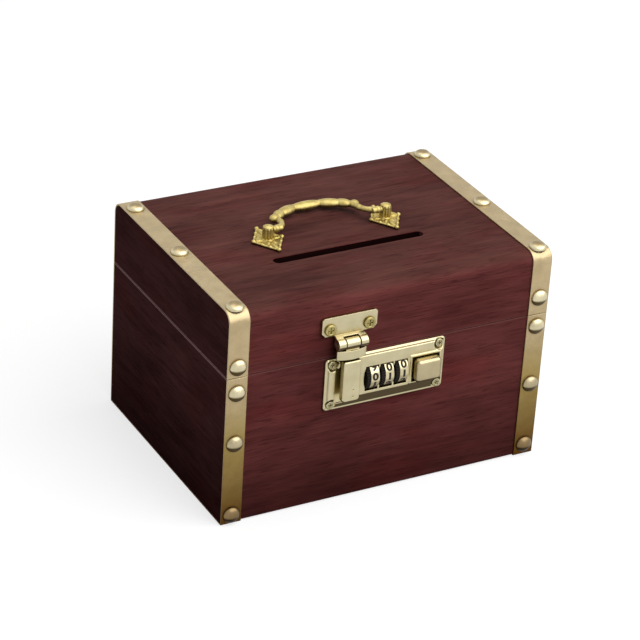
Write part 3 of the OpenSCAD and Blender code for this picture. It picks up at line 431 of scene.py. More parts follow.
def metal(name, dull, bright, roughness, spread, wave=0.0, wave_size=5.0, grit=0.0, grit_size=0.3,
          edges=0.15, below=0.6, crevice_shade=0.6, foot=0.0, smudge_size=6, warm=0.0, wrinkle=0.0,
          gold=0.0, crown=0.0):
    """Two tones, roughness with a spread, and slow waves, wrinkles in patches and fine grit in
    millimetres. The other values say how much of each painted shade there is, from 0 to 1."""
    finish = Finish(name, Metallic=1.0)
    here = finish.place()
    smudges = finish.noise(here, smudge_size, detail=4, roughness=0.6)
    colour = finish.tint(finish.between(smudges, 0.3, 0.7), dull, bright)
    # Painted shade and dark reflection where the surface looks down.
    colour = finish.darken(colour, finish.between(finish.slope(), -0.05, -0.21) * below, PAINTED_SHADE_BELOW)
    # Painted dark reflection and shade on the crown, where the surface looks straight up.
    if crown:
        colour = finish.darken(colour, finish.between(finish.slope(), 0.72, 0.95) * crown, PAINTED_SHADE_CROWN)
    # Painted bounce light and shade: narrow places between metal faces are warmer and darker.
    if warm:
        colour = finish.darken(colour, finish.crevices(WARM_BOUNCE_REACH) * warm, WARM_BOUNCE_SHADE)
    # Painted shade in crevices, where other surfaces come close.
    colour = finish.darken(colour, finish.crevices(CREVICE_SHADE_REACH) * crevice_shade, CREVICE_SHADE)
    if foot:
        # Painted shade and dark reflection towards the box's foot, also more golden lower down.
        height, top = finish.parts(here)[2], TOP_Z / MM
        golden_shade_part = finish.between(height, GOLD_FROM * top, GOLD_FULL * top)
        colour = finish.darken(colour, golden_shade_part * gold, PAINTED_GOLDEN_SHADE)
        colour = finish.darken(colour, finish.between(height, FOOT_FROM * top, 0) * foot, PAINTED_SHADE_FOOT)
    normal = finish.soft_edges(edges)
    if wave:
        normal = finish.bump(finish.noise(here, wave_size, detail=1), 1.0, wave, under=normal)
    if wrinkle:
        patches = finish.between(finish.noise(here, size=13, detail=1), 0.44, 0.60)
        normal = finish.bump(finish.noise(here, size=1.5, detail=3) * patches, 1.0, wrinkle, under=normal)
    if grit:
        normal = finish.bump(finish.noise(here, grit_size, detail=3), 1.0, grit, under=normal)
    finish.give(Base_Color=colour, Roughness=roughness - spread / 2 + smudges * spread, Normal=normal)
    return finish.material


print("metal is shaded in crevices up to", WARM_BOUNCE_REACH, "mm wide")

# %% [markdown]
# ## Brass, cast gold and steel
# Straps are thin satin sheet with soft dents, the lock is polished and pale, the nails are
# brighter still, and the handle is a rough yellow casting. The screws on the lid are more yellow
# than those on the lock. What is inside the lock is steel.

# %% Choose the metals
# Each metal's amounts for its undersides, crown, foot, golden foot, warm crevices and crevices say how much
# painted shade, dark reflection and bounce light goes into its colour.
strap_brass = metal("strap_brass", (0.39, 0.305, 0.17), (0.47, 0.37, 0.215), 0.42, 0.14, wave=0.16,
                    wave_size=4, edges=0.6, foot=1.0, below=0.3, wrinkle=0.34, gold=1.0)
stud_brass = metal("stud_brass", (0.50, 0.445, 0.28), (0.68, 0.61, 0.41), 0.38, 0.14, wave=0.06,
                   wave_size=1.6, below=1.0, foot=0.9, crevice_shade=1.0, warm=0.7, crown=1.0)
lock_brass = metal("lock_brass", (0.46, 0.41, 0.25), (0.55, 0.485, 0.31), 0.30, 0.12, wave=0.03,
                   wave_size=4, below=1.0, edges=0.35, warm=0.6, crevice_shade=0.35, crown=0.35)
button_brass = metal("button_brass", (0.38, 0.32, 0.19), (0.46, 0.39, 0.24), 0.32, 0.12, wave=0.04,
                     below=1.0, edges=0.35, warm=1.0)
screw_brass = metal("screw_brass", (0.31, 0.265, 0.10), (0.43, 0.37, 0.16), 0.36, 0.12, warm=0.8,
                    crevice_shade=1.0)
plate_screw_brass = metal("plate_screw_brass", (0.36, 0.33, 0.19), (0.46, 0.42, 0.26), 0.36, 0.10,
                          warm=0.5, crevice_shade=1.0)
cast_gold = metal("cast_gold", (0.37, 0.285, 0.085), (0.55, 0.45, 0.18), 0.50, 0.16, wave=0.06,
                  wave_size=1.1, grit=0.03, grit_size=0.35, below=0.5, crevice_shade=0.9, smudge_size=2, warm=0.9)
hinge_brass = metal("hinge_brass", (0.50, 0.39, 0.17), (0.60, 0.49, 0.25), 0.28, 0.12, grit=0.003, warm=0.5)
dial_brass = metal("dial_brass", (0.54, 0.47, 0.29), (0.62, 0.55, 0.35), 0.30, 0.10, grit=0.003, below=0.45)
steel = metal("steel", (0.42, 0.42, 0.41), (0.56, 0.56, 0.55), 0.30, 0.14, grit=0.004)
print("finishes so far:", ", ".join(material.name for material in bpy.data.materials))

# %% [markdown]
# ## Primitives at their real size
# A piece starts as a primitive at its real size and place: a box between two corners, a rod
# between two points, which is also a cone or a disc, or an egg-shaped lump.

# %% Boxes, rods and lumps
def add(kind, at=(0, 0, 0), turn=(0, 0, 0), scale=(1, 1, 1), **settings):
    """A primitive with its place, turn and size put into its mesh."""
    select_none()
    getattr(bpy.ops.mesh, f"primitive_{kind}_add")(location=at, rotation=turn, scale=scale, **settings)
    bpy.ops.object.transform_apply(location=True, rotation=True, scale=True)
    return bpy.context.object


def block(low, high):
    """A box from its lowest to its highest corner."""
    low, high = Vector(low), Vector(high)
    return add("cube", at=(low + high) / 2, scale=(high - low) / 2, size=2)


def rod(start, end, radius, sides=24, tip=None):
    """A round rod, or a cone when the tip has a radius of its own."""
    start, end = Vector(start), Vector(end)
    turn = (end - start).to_track_quat("Z", "Y").to_euler()
    return add("cone", at=(start + end) / 2, turn=turn, vertices=sides, radius1=radius,
               radius2=radius if tip is None else tip, depth=(end - start).length)


def lump(at, half_sizes, turn=(0, 0, 0)):
    """An egg-shaped lump of wax."""
    return add("uv_sphere", at=at, turn=turn, scale=half_sizes, segments=32, ring_count=20, radius=1)


print("primitives: block, rod, lump")

# %% [markdown]
# ## Picking, cutting and casting
# Faces or edges are picked by a test on where they are, because nobody is there to click on
# them. Castings are built the way a pattern maker builds them in wax: simple lumps are pressed
# together, then the whole is smoothed. In Blender that is a join, a voxel remesh and a few
# rounds of smoothing.

# %% Operations on pieces
def edit_all():
    """Edit mode with everything picked."""
    bpy.ops.object.mode_set(mode="EDIT")
    bpy.ops.mesh.select_all(action="SELECT")


def leave_edit():
    bpy.ops.object.mode_set(mode="OBJECT")


def pick(piece, test, kind="FACE"):
    """Edit mode with only those faces or edges selected whose middle and direction pass a test."""
    make_active(piece)
    bpy.ops.object.mode_set(mode="EDIT")
    bpy.ops.mesh.select_mode(type=kind)
    bpy.ops.mesh.select_all(action="DESELECT")
    leave_edit()
    mesh = piece.data
    if kind == "FACE":
        for face in mesh.polygons:
            face.select = bool(test(face.center, face.normal))
    else:
        for edge in mesh.edges:
            start, end = (mesh.vertices[i].co for i in edge.vertices)
            edge.select = bool(test((start + end) / 2, (end - start).normalized()))
    bpy.ops.object.mode_set(mode="EDIT")


def scale_picked(scale, about):
    """Scale what is picked about a place, and leave edit mode."""
    bpy.ops.transform.resize(value=scale, center_override=about)
    leave_edit()


def round_edges(piece, test, width, steps):
    """Bevel the edges that pass a test by a width in millimetres."""
    pick(piece, test, "EDGE")
    bpy.ops.mesh.bevel(offset=width * MM, segments=steps, affect="EDGES")
    leave_edit()


def modify(piece, kind, **settings):
    """Add one modifier and apply it."""
    make_active(piece)
    modifier = piece.modifiers.new(kind.lower(), kind)
    for key, value in settings.items():
        setattr(modifier, key, value)
    bpy.ops.object.modifier_apply(modifier=modifier.name)


def carve(piece, tool, operation="DIFFERENCE"):
    """Take the tool's shape out of the piece, or keep only what both share, and drop the tool."""
    modify(piece, "BOOLEAN", operation=operation, object=tool, solver="EXACT")
    bpy.data.objects.remove(tool)


def soften(piece, width, steps):
    """Round every sharp edge by a width in millimetres."""
    modify(piece, "BEVEL", width=width * MM, segments=steps, limit_method="ANGLE",
           angle_limit=math.radians(60))


def joined(pieces):
    select_none()
    for piece in pieces:
        piece.select_set(True)
    bpy.context.view_layer.objects.active = pieces[0]
    bpy.ops.object.join()
    return pieces[0]


def cast(pieces, grain, rounds):
    """Press lumps into one skin of squares of so many millimetres, and smooth it."""
    whole = joined(pieces)
    modify(whole, "REMESH", mode="VOXEL", voxel_size=grain * MM, use_smooth_shade=True)
    modify(whole, "SMOOTH", factor=0.5, iterations=rounds)
    return whole


print("operations: pick, round_edges, carve, soften, cast")

# %% [markdown]
# ## Measuring the solids
# One node holds all the nails or screws of its kind, so a copy of it is taken apart at its gaps,
# and each loose part gives a box.

# %% Where the parts of a node are
def loose_solids(node):
    """The lowest and highest corners of each loose solid in a node of the frame."""
    make_active(frame["nodes"][node])
    bpy.ops.object.duplicate()
    edit_all()
    bpy.ops.mesh.remove_doubles(threshold=1e-6)
    bpy.ops.mesh.separate(type="LOOSE")
    leave_edit()
    boxes = []
    for part in list(bpy.context.selected_objects):
        points = [vertex.co for vertex in part.data.vertices]
        boxes.append((Vector([min(p[i] for p in points) for i in range(3)]),
                      Vector([max(p[i] for p in points) for i in range(3)])))
        bpy.data.objects.remove(part)
    return sorted(boxes, key=lambda box: tuple(round(c, 4) for c in box[0]))


def joint_place(name):
    return next(Vector(joint["pos_m"]) for joint in frame["joints"] if joint["name"] == name)


PIVOT, PIN = joint_place("bail_swing"), joint_place("hasp_hinge")
print("bail pivot", [round(c / MM, 2) for c in PIVOT], "hasp pin", [round(c / MM, 2) for c in PIN])

# %% [markdown]
# ## The carrying handle's bail
# The bail is a brass casting: from each post a neck curls out and back in a C, ends in a little
# scroll, and carries an arm of three overlapping leaves. A curve with a round section gives the
# necks and the arm's core. It is drawn for one half, from the middle outwards, and mirrored.

# %% The bail's core
HALF_PATH = [(0, 19.5), (8, 18.3), (13.6, 15.7), (16.9, 12.4), (17.6, 9.0), (18.4, 5.4), (19.7, 2.3),
             (22.6, 0.4), (24.9, 0)]   # along the arm and away from the pivot, in mm
CORE_RADIUS = [1.5, 1.5, 1.45, 1.35, 1.2, 1.15, 1.25, 1.4, 1.2]
path = [(-u, w, r) for (u, w), r in zip(reversed(HALF_PATH), reversed(CORE_RADIUS))]
path += [(u, w, r) for (u, w), r in zip(HALF_PATH[1:], CORE_RADIUS[1:])]

select_none()
bpy.ops.curve.primitive_bezier_curve_add()
core = bpy.context.object
core.data.bevel_depth, core.data.bevel_resolution = MM, 5
core.data.resolution_u, core.data.use_fill_caps = 10, True
spline = core.data.splines[0]
spline.bezier_points.add(len(path) - len(spline.bezier_points))
for point, (u, w, r) in zip(spline.bezier_points, path):
    point.co, point.radius = (u * MM, 0, w * MM), r
    point.handle_left_type = point.handle_right_type = "AUTO"
bpy.ops.object.convert(target="MESH")
core = bpy.context.object
print("core points:", len(path), "faces:", len(core.data.polygons))

# %% [markdown]
# ## Leaves, scrolls and pins
# Lumps laid along the core make the leaves and scrolls, and a short rod at each end is the pin
# that turns in its post. The bail is built upright at the origin, cast, and then laid down.

# %% Dress the core and cast the bail
BAIL_LEAN = math.radians(98)
# Each lump: along and up, its slope in degrees, and its half length, height and depth.
MIDDLE_LEAF = (0.2, 19.1, 0, 7.6, 2.6, 1.95)
OUTER_LEAF, SHOULDER = (9.8, 17.3, -27, 6.2, 2.6, 1.9), (14.9, 14.3, -50, 3.9, 2.35, 1.8)
SCROLL, NECK = (18.4, 11.2, 0, 2.15, 2.05, 1.75), (18.1, 6.4, -88, 2.0, 1.4, 1.35)
COLLAR = (23.2, 0, 0, 1.5, 1.65, 1.6)
PIN_FROM, PIN_TO, BAIL_PIN_R = 20.6, 28.2, 1.3


def arm_lump(side, u, w, slope, length, height, depth):
    """A lump on the left (-1) or right (1) half of the arm."""
    return lump((side * u * MM, 0, w * MM), (length * MM, depth * MM, height * MM),
                (0, -math.radians(side * slope), 0))


shapes = [core, arm_lump(1, *MIDDLE_LEAF)]
for side in (-1, 1):
    for place_and_size in (OUTER_LEAF, SHOULDER, SCROLL, NECK):
        shapes.append(arm_lump(side, *place_and_size))
    shapes.append(rod((side * PIN_FROM * MM, 0, 0), (side * PIN_TO * MM, 0, 0), BAIL_PIN_R * MM))
    shapes.append(arm_lump(side, *COLLAR))
bail = cast(shapes, grain=0.17, rounds=3)
bail.matrix_world = Matrix.Translation(PIVOT) @ Matrix.Rotation(-BAIL_LEAN, 4, "X")
settle(bail, "bail_cast", "bail", cast_gold, angle=180)
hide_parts("bail")

# %% [markdown]
# ## Posts and rosettes
# Each post stands on a lozenge-shaped rosette with a beaded rim, a knob on every tip and a few
# petals round the foot. Pressed together with the post and smoothed, it all looks like one
# casting.

# %% The rosette's lozenge, rim and petals
ROSETTE = (6.3, 9.9)      # half width and half length
RIM_R, KNOB_R, BEAD_R = 0.5, 0.95, 0.72
RIM_UP, KNOB_UP, BEAD_UP, LEAF_UP = 0.75, 0.95, 0.85, 0.9
BEADS_AT = (0.34, 0.66)   # along each side of the rim, as shares
SIDE_PETAL, END_PETAL = (2.3, 0.8, 0.6), (0.95, 3.0, 0.6)
LEAF, LEAF_OUT = (1.7, 0.7, 0.5), 2.9


def ball(at, radius):
    return lump(at, (radius * MM,) * 3)


def rosette(at):
    """The lumps of a rosette, where at() gives a place from distances to its middle."""
    wide, long = ROSETTE
    parts = [add("cylinder", at=at(0, 0, 0.42), scale=(wide * MM, long * MM, MM), vertices=4, radius=1,
                 depth=0.9)]
    tips = [(wide, 0), (0, long), (-wide, 0), (0, -long)]
    for (x, y), (next_x, next_y) in zip(tips, tips[1:] + tips[:1]):
        parts.append(rod(at(x, y, RIM_UP), at(next_x, next_y, RIM_UP), RIM_R * MM))
        parts.append(ball(at(x, y, KNOB_UP), KNOB_R))
        for share in BEADS_AT:
            parts.append(ball(at(x + (next_x - x) * share, y + (next_y - y) * share, BEAD_UP), BEAD_R))
        petal, reach = (SIDE_PETAL, 0.54) if x else (END_PETAL, 0.56)
        parts.append(lump(at(x * reach, y * reach, KNOB_UP), [s * MM for s in petal]))
        lean = math.atan2(long * (next_y + y), wide * (next_x + x))
        parts.append(lump(at(LEAF_OUT * math.cos(lean), LEAF_OUT * math.sin(lean), LEAF_UP),
                          [s * MM for s in LEAF], (0, 0, lean)))
    return parts


print("rosettes are", 2 * ROSETTE[0], "by", 2 * ROSETTE[1], "mm")

# %% [markdown]
# ## The reeded posts
# The post's foot is a low cone. Ten reeds stand round its core, each sunk halfway into it, and
# the cap is an eight-sided disc with a flat dome.

# %% Cast both posts
POST_R, REEDS, REED_R = 1.9, 10, 0.5
FOOT_R, FOOT_TOP_R, CAP_R, DOME = 3.3, 2.3, 2.25, (2.0, 2.0, 0.9)


def post_casting(node):
    low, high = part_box(node)
    centre = (low + high) / 2

    def at(x, y, z):
        return Vector((centre.x + x * MM, centre.y + y * MM, TOP_Z + z * MM))

    parts = rosette(at)
    parts += [rod(at(0, 0, 0.4), at(0, 0, 1.7), FOOT_R * MM, tip=FOOT_TOP_R * MM),
              rod(at(0, 0, 0.5), at(0, 0, 6.4), POST_R * MM)]
    for k in range(REEDS):
        turn = 2 * math.pi * k / REEDS
        x, y = POST_R * math.cos(turn), POST_R * math.sin(turn)
        parts.append(rod(at(x, y, 0.9), at(x, y, 6.2), REED_R * MM, sides=12))
    parts += [rod(at(0, 0, 5.6), at(0, 0, 6.7), CAP_R * MM, sides=8),
              lump(at(0, 0, 6.4), [s * MM for s in DOME])]
    return cast(parts, grain=0.14, rounds=3)


for side in ("left", "right"):
    post = post_casting("handle_post_" + side)
    settle(post, "post_" + side, "lid", cast_gold, angle=180)
    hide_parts("handle_post_" + side)

# %% [markdown]
# ## The lock's face plate
# The lock looks soft, like a pillow pressed from thick brass: a flat flange, a raised cushion
# with a long slope at the bottom, scoops round the four screws, and a rim round the button. The
# soft part is cast as one lump.

# %% Press the pillow
plate_low, plate_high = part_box("lock_face_plate")
button_low, button_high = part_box("push_button")
lock = Vector(((plate_low.x + plate_high.x) / 2, FRONT_Y, (plate_low.z + plate_high.z) / 2))
BUTTON_X = (((button_low + button_high) / 2).x - lock.x) / MM
PLATE_W, PLATE_H, FLANGE = 54.2, 23.2, 1.0
FACE_OUT, SCREW_X, SCREW_Z, SCOOP_R, SCOOP_RIM_R = 2.3, 24.2, 9.1, 2.1, 3.1
RIM, RIM_RISE = (7.0, 6.3), 0.5   # half width and half height of the button's rim, and its rise
CUSHION_X, CUSHION_LOW, CUSHION_HIGH = 26.5, -11.55, 11.2   # at the foot of its slopes
FACE_X, FACE_Z, FACE_UP = 25.6, 8.6, 2.15   # its flat face, and how far that is moved up
RECESS_X, RECESS_Z = (-22.9, -13.4), (-8.6, 7.4)   # the flat place under the hasp's tongue


def on_plate(x, z, out):
    """A place by its distances right of, above and in front of the plate's middle, in mm."""
    return Vector((lock.x + x * MM, lock.y - out * MM, lock.z + z * MM))


def plate_block(x, z, out):
    """A box between two distances each way."""
    ends = [on_plate(x[i], z[i], out[i]) for i in (0, 1)]
    return block([min(a, b) for a, b in zip(*ends)], [max(a, b) for a, b in zip(*ends)])


def pad(x, half_width, half_height, out):
    """A box round a place x on the plate's middle line."""
    return plate_block((x - half_width, x + half_width), (-half_height, half_height), out)


flange = pad(0, PLATE_W / 2, PLATE_H / 2, (0, FLANGE))
round_edges(flange, lambda middle, way: abs(way.y) > 0.9, width=1.6, steps=5)
cushion = plate_block((-CUSHION_X, CUSHION_X), (CUSHION_LOW, CUSHION_HIGH), (0.7, FACE_OUT))
cushion_middle = (CUSHION_LOW + CUSHION_HIGH) / 2
pick(cushion, lambda middle, normal: normal.y < -0.9)
bpy.ops.transform.translate(value=(0, 0, FACE_UP * MM))
scale_picked((FACE_X / CUSHION_X, 1, FACE_Z / (CUSHION_HIGH - cushion_middle)),
             on_plate(0, cushion_middle + FACE_UP, FACE_OUT))
carve(cushion, plate_block(RECESS_X, RECESS_Z, (FLANGE + 0.1, 5)))
for x in (-SCREW_X, SCREW_X):
    for z in (-SCREW_Z, SCREW_Z):
        carve(cushion, rod(on_plate(x, z, FLANGE), on_plate(x, z, 3.0), SCOOP_R * MM, tip=SCOOP_RIM_R * MM,
                           sides=40))
rim = pad(BUTTON_X, *RIM, (0.5, FACE_OUT + RIM_RISE))
face_plate = cast([flange, cushion, rim], grain=0.2, rounds=6)
print("plate faces:", len(face_plate.data.polygons), "button at", round(BUTTON_X, 2))

# %% [markdown]
# ## Windows and openings
# The windows are cut after the casting, because smoothing would melt their crisp edges. Each
# dial has a tall one with a shallow thumb notch on its left, and the button and the hasp's
# staple have openings of their own.

# %% Cut the windows and openings
DIALS = [("dial_1", "first_dial", 0.3), ("dial_2", "second_dial", 1), ("dial_3", "third_dial", 1)]
WINDOW = (2.95, 5.5)      # half width and half height
NOTCH = (1.0, 4.6, 0.4)   # half width, half height and rise of the thumb notch
BUTTON_HOLE, STAPLE_HOLE = (6.2, 5.6), (-4.3, 3.4)
THROUGH = (-1, 5)         # from behind the plate to well in front of it
openings, notches = [], []
for node, body, reading in DIALS:
    low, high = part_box(node)
    x = (((low + high) / 2).x - lock.x) / MM
    openings.append(pad(x, *WINDOW, THROUGH))
    notches.append(lump(on_plate(x - WINDOW[0] + 0.4, NOTCH[2], 2), (NOTCH[0] * MM, 9 * MM, NOTCH[1] * MM)))
openings.append(pad(BUTTON_X, *BUTTON_HOLE, THROUGH))
staple_low, staple_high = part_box("hasp_staple")
staple_x = (((staple_low + staple_high) / 2).x - lock.x) / MM
openings.append(plate_block((staple_x - 1.2, staple_x + 1.2), STAPLE_HOLE, THROUGH))
carve(face_plate, joined(openings))
carve(face_plate, joined(notches))
print("cut openings, faces left:", len(face_plate.data.polygons))

# %% [markdown]
# ## The lock's case
# Behind the plate a thin case holds the dials and the bolt. It is the same casting as the face
# in the solids, so it is a copy of that solid, cut off behind the flange.

# %% Keep the case behind the plate
def free_copy(node):
    """A copy of a solid that rides on nothing yet."""
    make_active(frame["nodes"][node])
    bpy.ops.object.duplicate()
    copy = bpy.context.object
    bpy.ops.object.parent_clear(type="CLEAR_KEEP_TRANSFORM")
    for key in list(copy.keys()):
        del copy[key]
    return copy


def rear_copy(node, out):
    """A copy of a solid, cut off at a distance in front of the plate's back, in mm."""
    copy = free_copy(node)
    edit_all()
    bpy.ops.mesh.remove_doubles(threshold=1e-6)
    bpy.ops.mesh.select_all(action="SELECT")
    bpy.ops.mesh.bisect(plane_co=on_plate(0, 0, out), plane_no=(0, -1, 0), use_fill=True,
                        clear_outer=True, threshold=1e-6)
    leave_edit()
    return copy


settle(rear_copy("lock_face_plate", -0.15), "lock_case", "base", steel)
settle(face_plate, "lock_plate_pressed", "base", lock_brass, angle=50)
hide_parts("lock_face_plate")

# %% [markdown]
# ## Black paint
# The numbers are filled with black paint. The grip wheels are black, partly their own dark finish
# and partly painted shade beside each dial. Both are almost black, but not quite even, so each
# goes softly from one dark tone to another.

# %% Two blacks
def uneven_black(name, dark, light, size, roughness, gloss):
    finish = Finish(name, Roughness=roughness, Specular_IOR_Level=gloss)
    finish.give(Base_Color=finish.tint(finish.noise(finish.place(), size), dark, light))
    return finish.material


number_paint = uneven_black("number_paint", (0.012, 0.010, 0.008), (0.035, 0.030, 0.022), size=0.5,
                            roughness=0.55, gloss=0.2)
blackened = uneven_black("blackened", (0.008, 0.007, 0.006), (0.028, 0.023, 0.018), size=0.8,
                         roughness=0.7, gloss=0.1)
print("blacks:", number_paint.name, blackened.name)

# %% [markdown]
# ## One number as a fine mesh
# A number starts as flat text and stands a hair out of the brass. It needs a fine mesh, because
# it will be bent. Bolder outlines read better, but those of 6 and 8 would cross themselves, so
# these two stay a little thinner.

# %% Make flat numbers
NUMBERS, NUMBER_H, NUMBER_STRETCH = 10, 3.3, 1.22
PAINT_OUT, PAINT_IN = 0.035, 0.15   # how far the paint stands out of the brass and sinks into it
BOLD, LESS_BOLD = 0.045, 0.03


def flat_number(digit, middle):
    """One digit as a thin fine mesh, centred on x = 0 and on its middle."""
    select_none()
    bpy.ops.object.text_add()
    text = bpy.context.object
    text.data.body, text.data.size, text.data.extrude = str(digit), 1, 0.02
    text.data.offset = LESS_BOLD if digit in (6, 8) else BOLD
    bpy.ops.object.convert(target="MESH")
    piece = bpy.context.object
    xs, ys = [v.co.x for v in piece.data.vertices], [v.co.y for v in piece.data.vertices]
    scale = NUMBER_H * MM / (max(ys) - min(ys))
    for vertex in piece.data.vertices:
        x, y, z = vertex.co
        vertex.co = ((x - (max(xs) + min(xs)) / 2) * scale * NUMBER_STRETCH,
                     (y - (max(ys) + min(ys)) / 2) * scale + middle,
                     PAINT_OUT * MM if z > 0 else -PAINT_IN * MM)
    edit_all()
    bpy.ops.mesh.quads_convert_to_tris()
    bpy.ops.mesh.subdivide(number_cuts=3)
    leave_edit()
    return piece


print("numbers are", NUMBER_H, "mm high")

# %% [markdown]
# ## Numbers wound round the dials
# Each dial carries ten numbers, one above the other, a tenth of the rim apart. Every point of
# that strip is wound round the dial: its height becomes an angle. The reading says which number
# faces the front. On the first dial it stands between two.

# %% Wind the numbers round the dials
# The grip wheel is wide and black, partly as painted shade beside each dial.
GRIP_W = 1.6   # the toothed wheel on the left of each dial


def dial_shape(node):
    """The left and right end of a dial, the middle of its axle and its radius."""
    low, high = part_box(node)
    return low.x, high.x, (low + high) / 2, (high.z - low.z) / 2


for node, body, reading in DIALS:
    left, right, axle, radius = dial_shape(node)
    step = 2 * math.pi * radius / NUMBERS
    strip = joined([flat_number(digit, (reading - digit) * step) for digit in range(NUMBERS)])
    for vertex in strip.data.vertices:
        x, y, z = vertex.co
        angle, reach = y / radius, radius + z
        vertex.co = (axle.x + GRIP_W * MM / 2 + x, axle.y - reach * math.cos(angle),
                     axle.z + reach * math.sin(angle))
    settle(strip, node + "_numbers", body, number_paint)

# %% [markdown]
# ## Number rings and grip wheels
# Each dial is two rings on one sleeve: a brass one that carries the numbers, and on its left a
# black one with fine teeth for the finger, also painted shade beside the dial. Both are cylinders
# with the sleeve's bore cut out. The toothed one has twice as many sides as teeth: every second
# edge of its wall is drawn in.

# %% Cut the rings and the toothed wheels
TEETH, TOOTH_DEPTH, SLEEVE_R = 36, 0.4, 3.7
for node, body, reading in DIALS:
    left, right, axle, radius = dial_shape(node)
    shoulder = left + GRIP_W * MM

    def along(x):
        return Vector((x, axle.y, axle.z))

    def every_second(middle, way):
        turn = math.atan2(middle.y - axle.y, middle.z - axle.z)
        return abs(way.x) > 0.9 and round(turn * TEETH / math.pi) % 2

    def bore(piece):
        carve(piece, rod(along(left - MM), along(right + MM), SLEEVE_R * MM, sides=48))

    ring = rod(along(shoulder), along(right), radius, sides=96)
    bore(ring)
    soften(ring, width=0.2, steps=2)
    settle(ring, node + "_ring", body, dial_brass, angle=35)
    wheel = rod(along(left), along(shoulder), radius, sides=2 * TEETH)
    pick(wheel, every_second, "EDGE")
    inward = 1 - TOOTH_DEPTH * MM / radius
    scale_picked((1, inward, inward), axle)
    bore(wheel)
    settle(wheel, node + "_grip", body, blackened, angle=20)
    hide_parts(node)

# %% [markdown]
# ## The push button
# The button is a smooth pressed block that the thumb pushes in. Its edges are bevelled round,
# its inside is hollow to make room for the springs, and its side walls are slit where the bolt
# passes. Behind the plate it keeps the shape of the solid, with the lip that holds it and the
# wedge that draws the bolt, so that part is a copy cut off at the flange.

# %% Round the button's cap
CAP_X, CAP_Z, CAP_WALL = 5.6, 5.0, 1.0   # half width, half height and the wall's thickness
BOLT_SLIT, SLIT_OUT = 1.8, 2.4           # the slit's half height, and how far out it reaches
BEHIND = -5
cap_out = (FRONT_Y - button_low.y) / MM
cap = pad(BUTTON_X, CAP_X, CAP_Z, (FLANGE, cap_out))
round_edges(cap, lambda middle, way: middle.y < on_plate(0, 0, FLANGE + 0.2).y, width=1.6, steps=6)
carve(cap, pad(BUTTON_X, CAP_X - CAP_WALL, CAP_Z - CAP_WALL, (BEHIND, cap_out - CAP_WALL)))
carve(cap, pad(BUTTON_X, 7, BOLT_SLIT, (BEHIND, SLIT_OUT)))
stem = rear_copy("push_button", FLANGE + 0.3)
settle(stem, "button_stem", "push_button", steel)
settle(cap, "button_cap", "push_button", button_brass, angle=60)
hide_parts("push_button")

# %% [markdown]
# ## The button's springs
# A real spring gets shorter as the button goes in, but a rigid one would come through the
# pressed cap. So both are a little shorter than at a full press. At rest the cap hides that.

# %% Squeeze the springs behind the button
SHORTER = 2.9   # the button's travel of 2.8 mm and a little air
springs = free_copy("button_springs")
springs_low, springs_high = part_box("button_springs")
full_length = (springs_high.y - springs_low.y) / MM
pick(springs, lambda middle, normal: True)
scale_picked((1, (full_length - SHORTER) / full_length, 1), (0, springs_high.y, 0))
settle(springs, "button_springs_squeezed", "base", steel)
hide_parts("button_springs")

# %% [markdown]
# ## The hasp's tongue
# The tongue hangs from the hinge: a knuckle, a short web, a curved collar, a groove, and a
# cover with round edges that hides the staple. The collar is a slice of a wide upright
# cylinder. Pressed together and smoothed a little, the parts look like one stamping, and the
# pin's bore is cut last, to keep it true.

# %% Stamp the tongue
KNUCKLE_X, KNUCKLE_R, PIN_R, PIN_OUT, WEB_OUT = 2.95, 2.3, 1.1, 3.8, (3.4, 5.1)
COLLAR_R, COLLAR_OUT, COVER_BACK, COVER_OUT = 15.0, 5.9, 3.1, 6.2
COLLAR_TOP, GROOVE_X, GROOVE_OUT, COVER_X, COVER_TOP = -2.6, 3.4, 4.2, 3.9, -7.4
DENTS = ((0.77, 53.36), (0.67, 50.38))   # two punched dots, right of the pin and above the floor


def on_tongue(x, z, out):
    """A place by its distances right of and above the pin, and in front of the box, in mm."""
    return Vector((PIN.x + x * MM, FRONT_Y - out * MM, PIN.z + z * MM))


def tongue_block(x, z, out):
    return block(on_tongue(x[0], z[0], out[1]), on_tongue(x[1], z[1], out[0]))


knuckle = rod(on_tongue(-KNUCKLE_X, 0, PIN_OUT), on_tongue(KNUCKLE_X, 0, PIN_OUT), KNUCKLE_R * MM, sides=48)
web = tongue_block((-KNUCKLE_X, KNUCKLE_X), (-3.4, 0), WEB_OUT)
collar = rod(on_tongue(0, -6.7, COLLAR_OUT - COLLAR_R), on_tongue(0, COLLAR_TOP, COLLAR_OUT - COLLAR_R),
             COLLAR_R * MM, sides=160)
carve(collar, tongue_block((-6.5, 6.5), (-7, -2), (COVER_BACK, 7)), "INTERSECT")
groove = tongue_block((-GROOVE_X, GROOVE_X), (-8, -6), (COVER_BACK, GROOVE_OUT))
foot = (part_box("hasp_tongue")[0].z - PIN.z) / MM
cover = tongue_block((-COVER_X, COVER_X), (foot, COVER_TOP), (COVER_BACK, COVER_OUT))
round_edges(cover, lambda middle, way: abs(way.y) > 0.9 and middle.z < on_tongue(0, -20, 0).z,
            width=1.4, steps=5)
soften(cover, width=0.75, steps=4)
tongue = cast([knuckle, web, collar, groove, cover], grain=0.15, rounds=3)
carve(tongue, rod(on_tongue(-9, 0, PIN_OUT), on_tongue(9, 0, PIN_OUT), PIN_R * MM, sides=32))
for x, z in DENTS:
    carve(tongue, lump(on_tongue(x, z - PIN.z / MM, COVER_OUT), (0.4 * MM, 0.3 * MM, 0.4 * MM)))
settle(tongue, "hasp_tongue_stamped", "hasp", lock_brass, angle=50)
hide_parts("hasp_tongue")

# %% [markdown]
# ## Cross-head screws
# The screws on the lid's hasp plate have wide heads with a raised ring, those in the face plate
# are small and flat. A head is a short cylinder with a round front edge, a dish turned out of
# it and a cross cut into the dish. The solids say where each one sits.

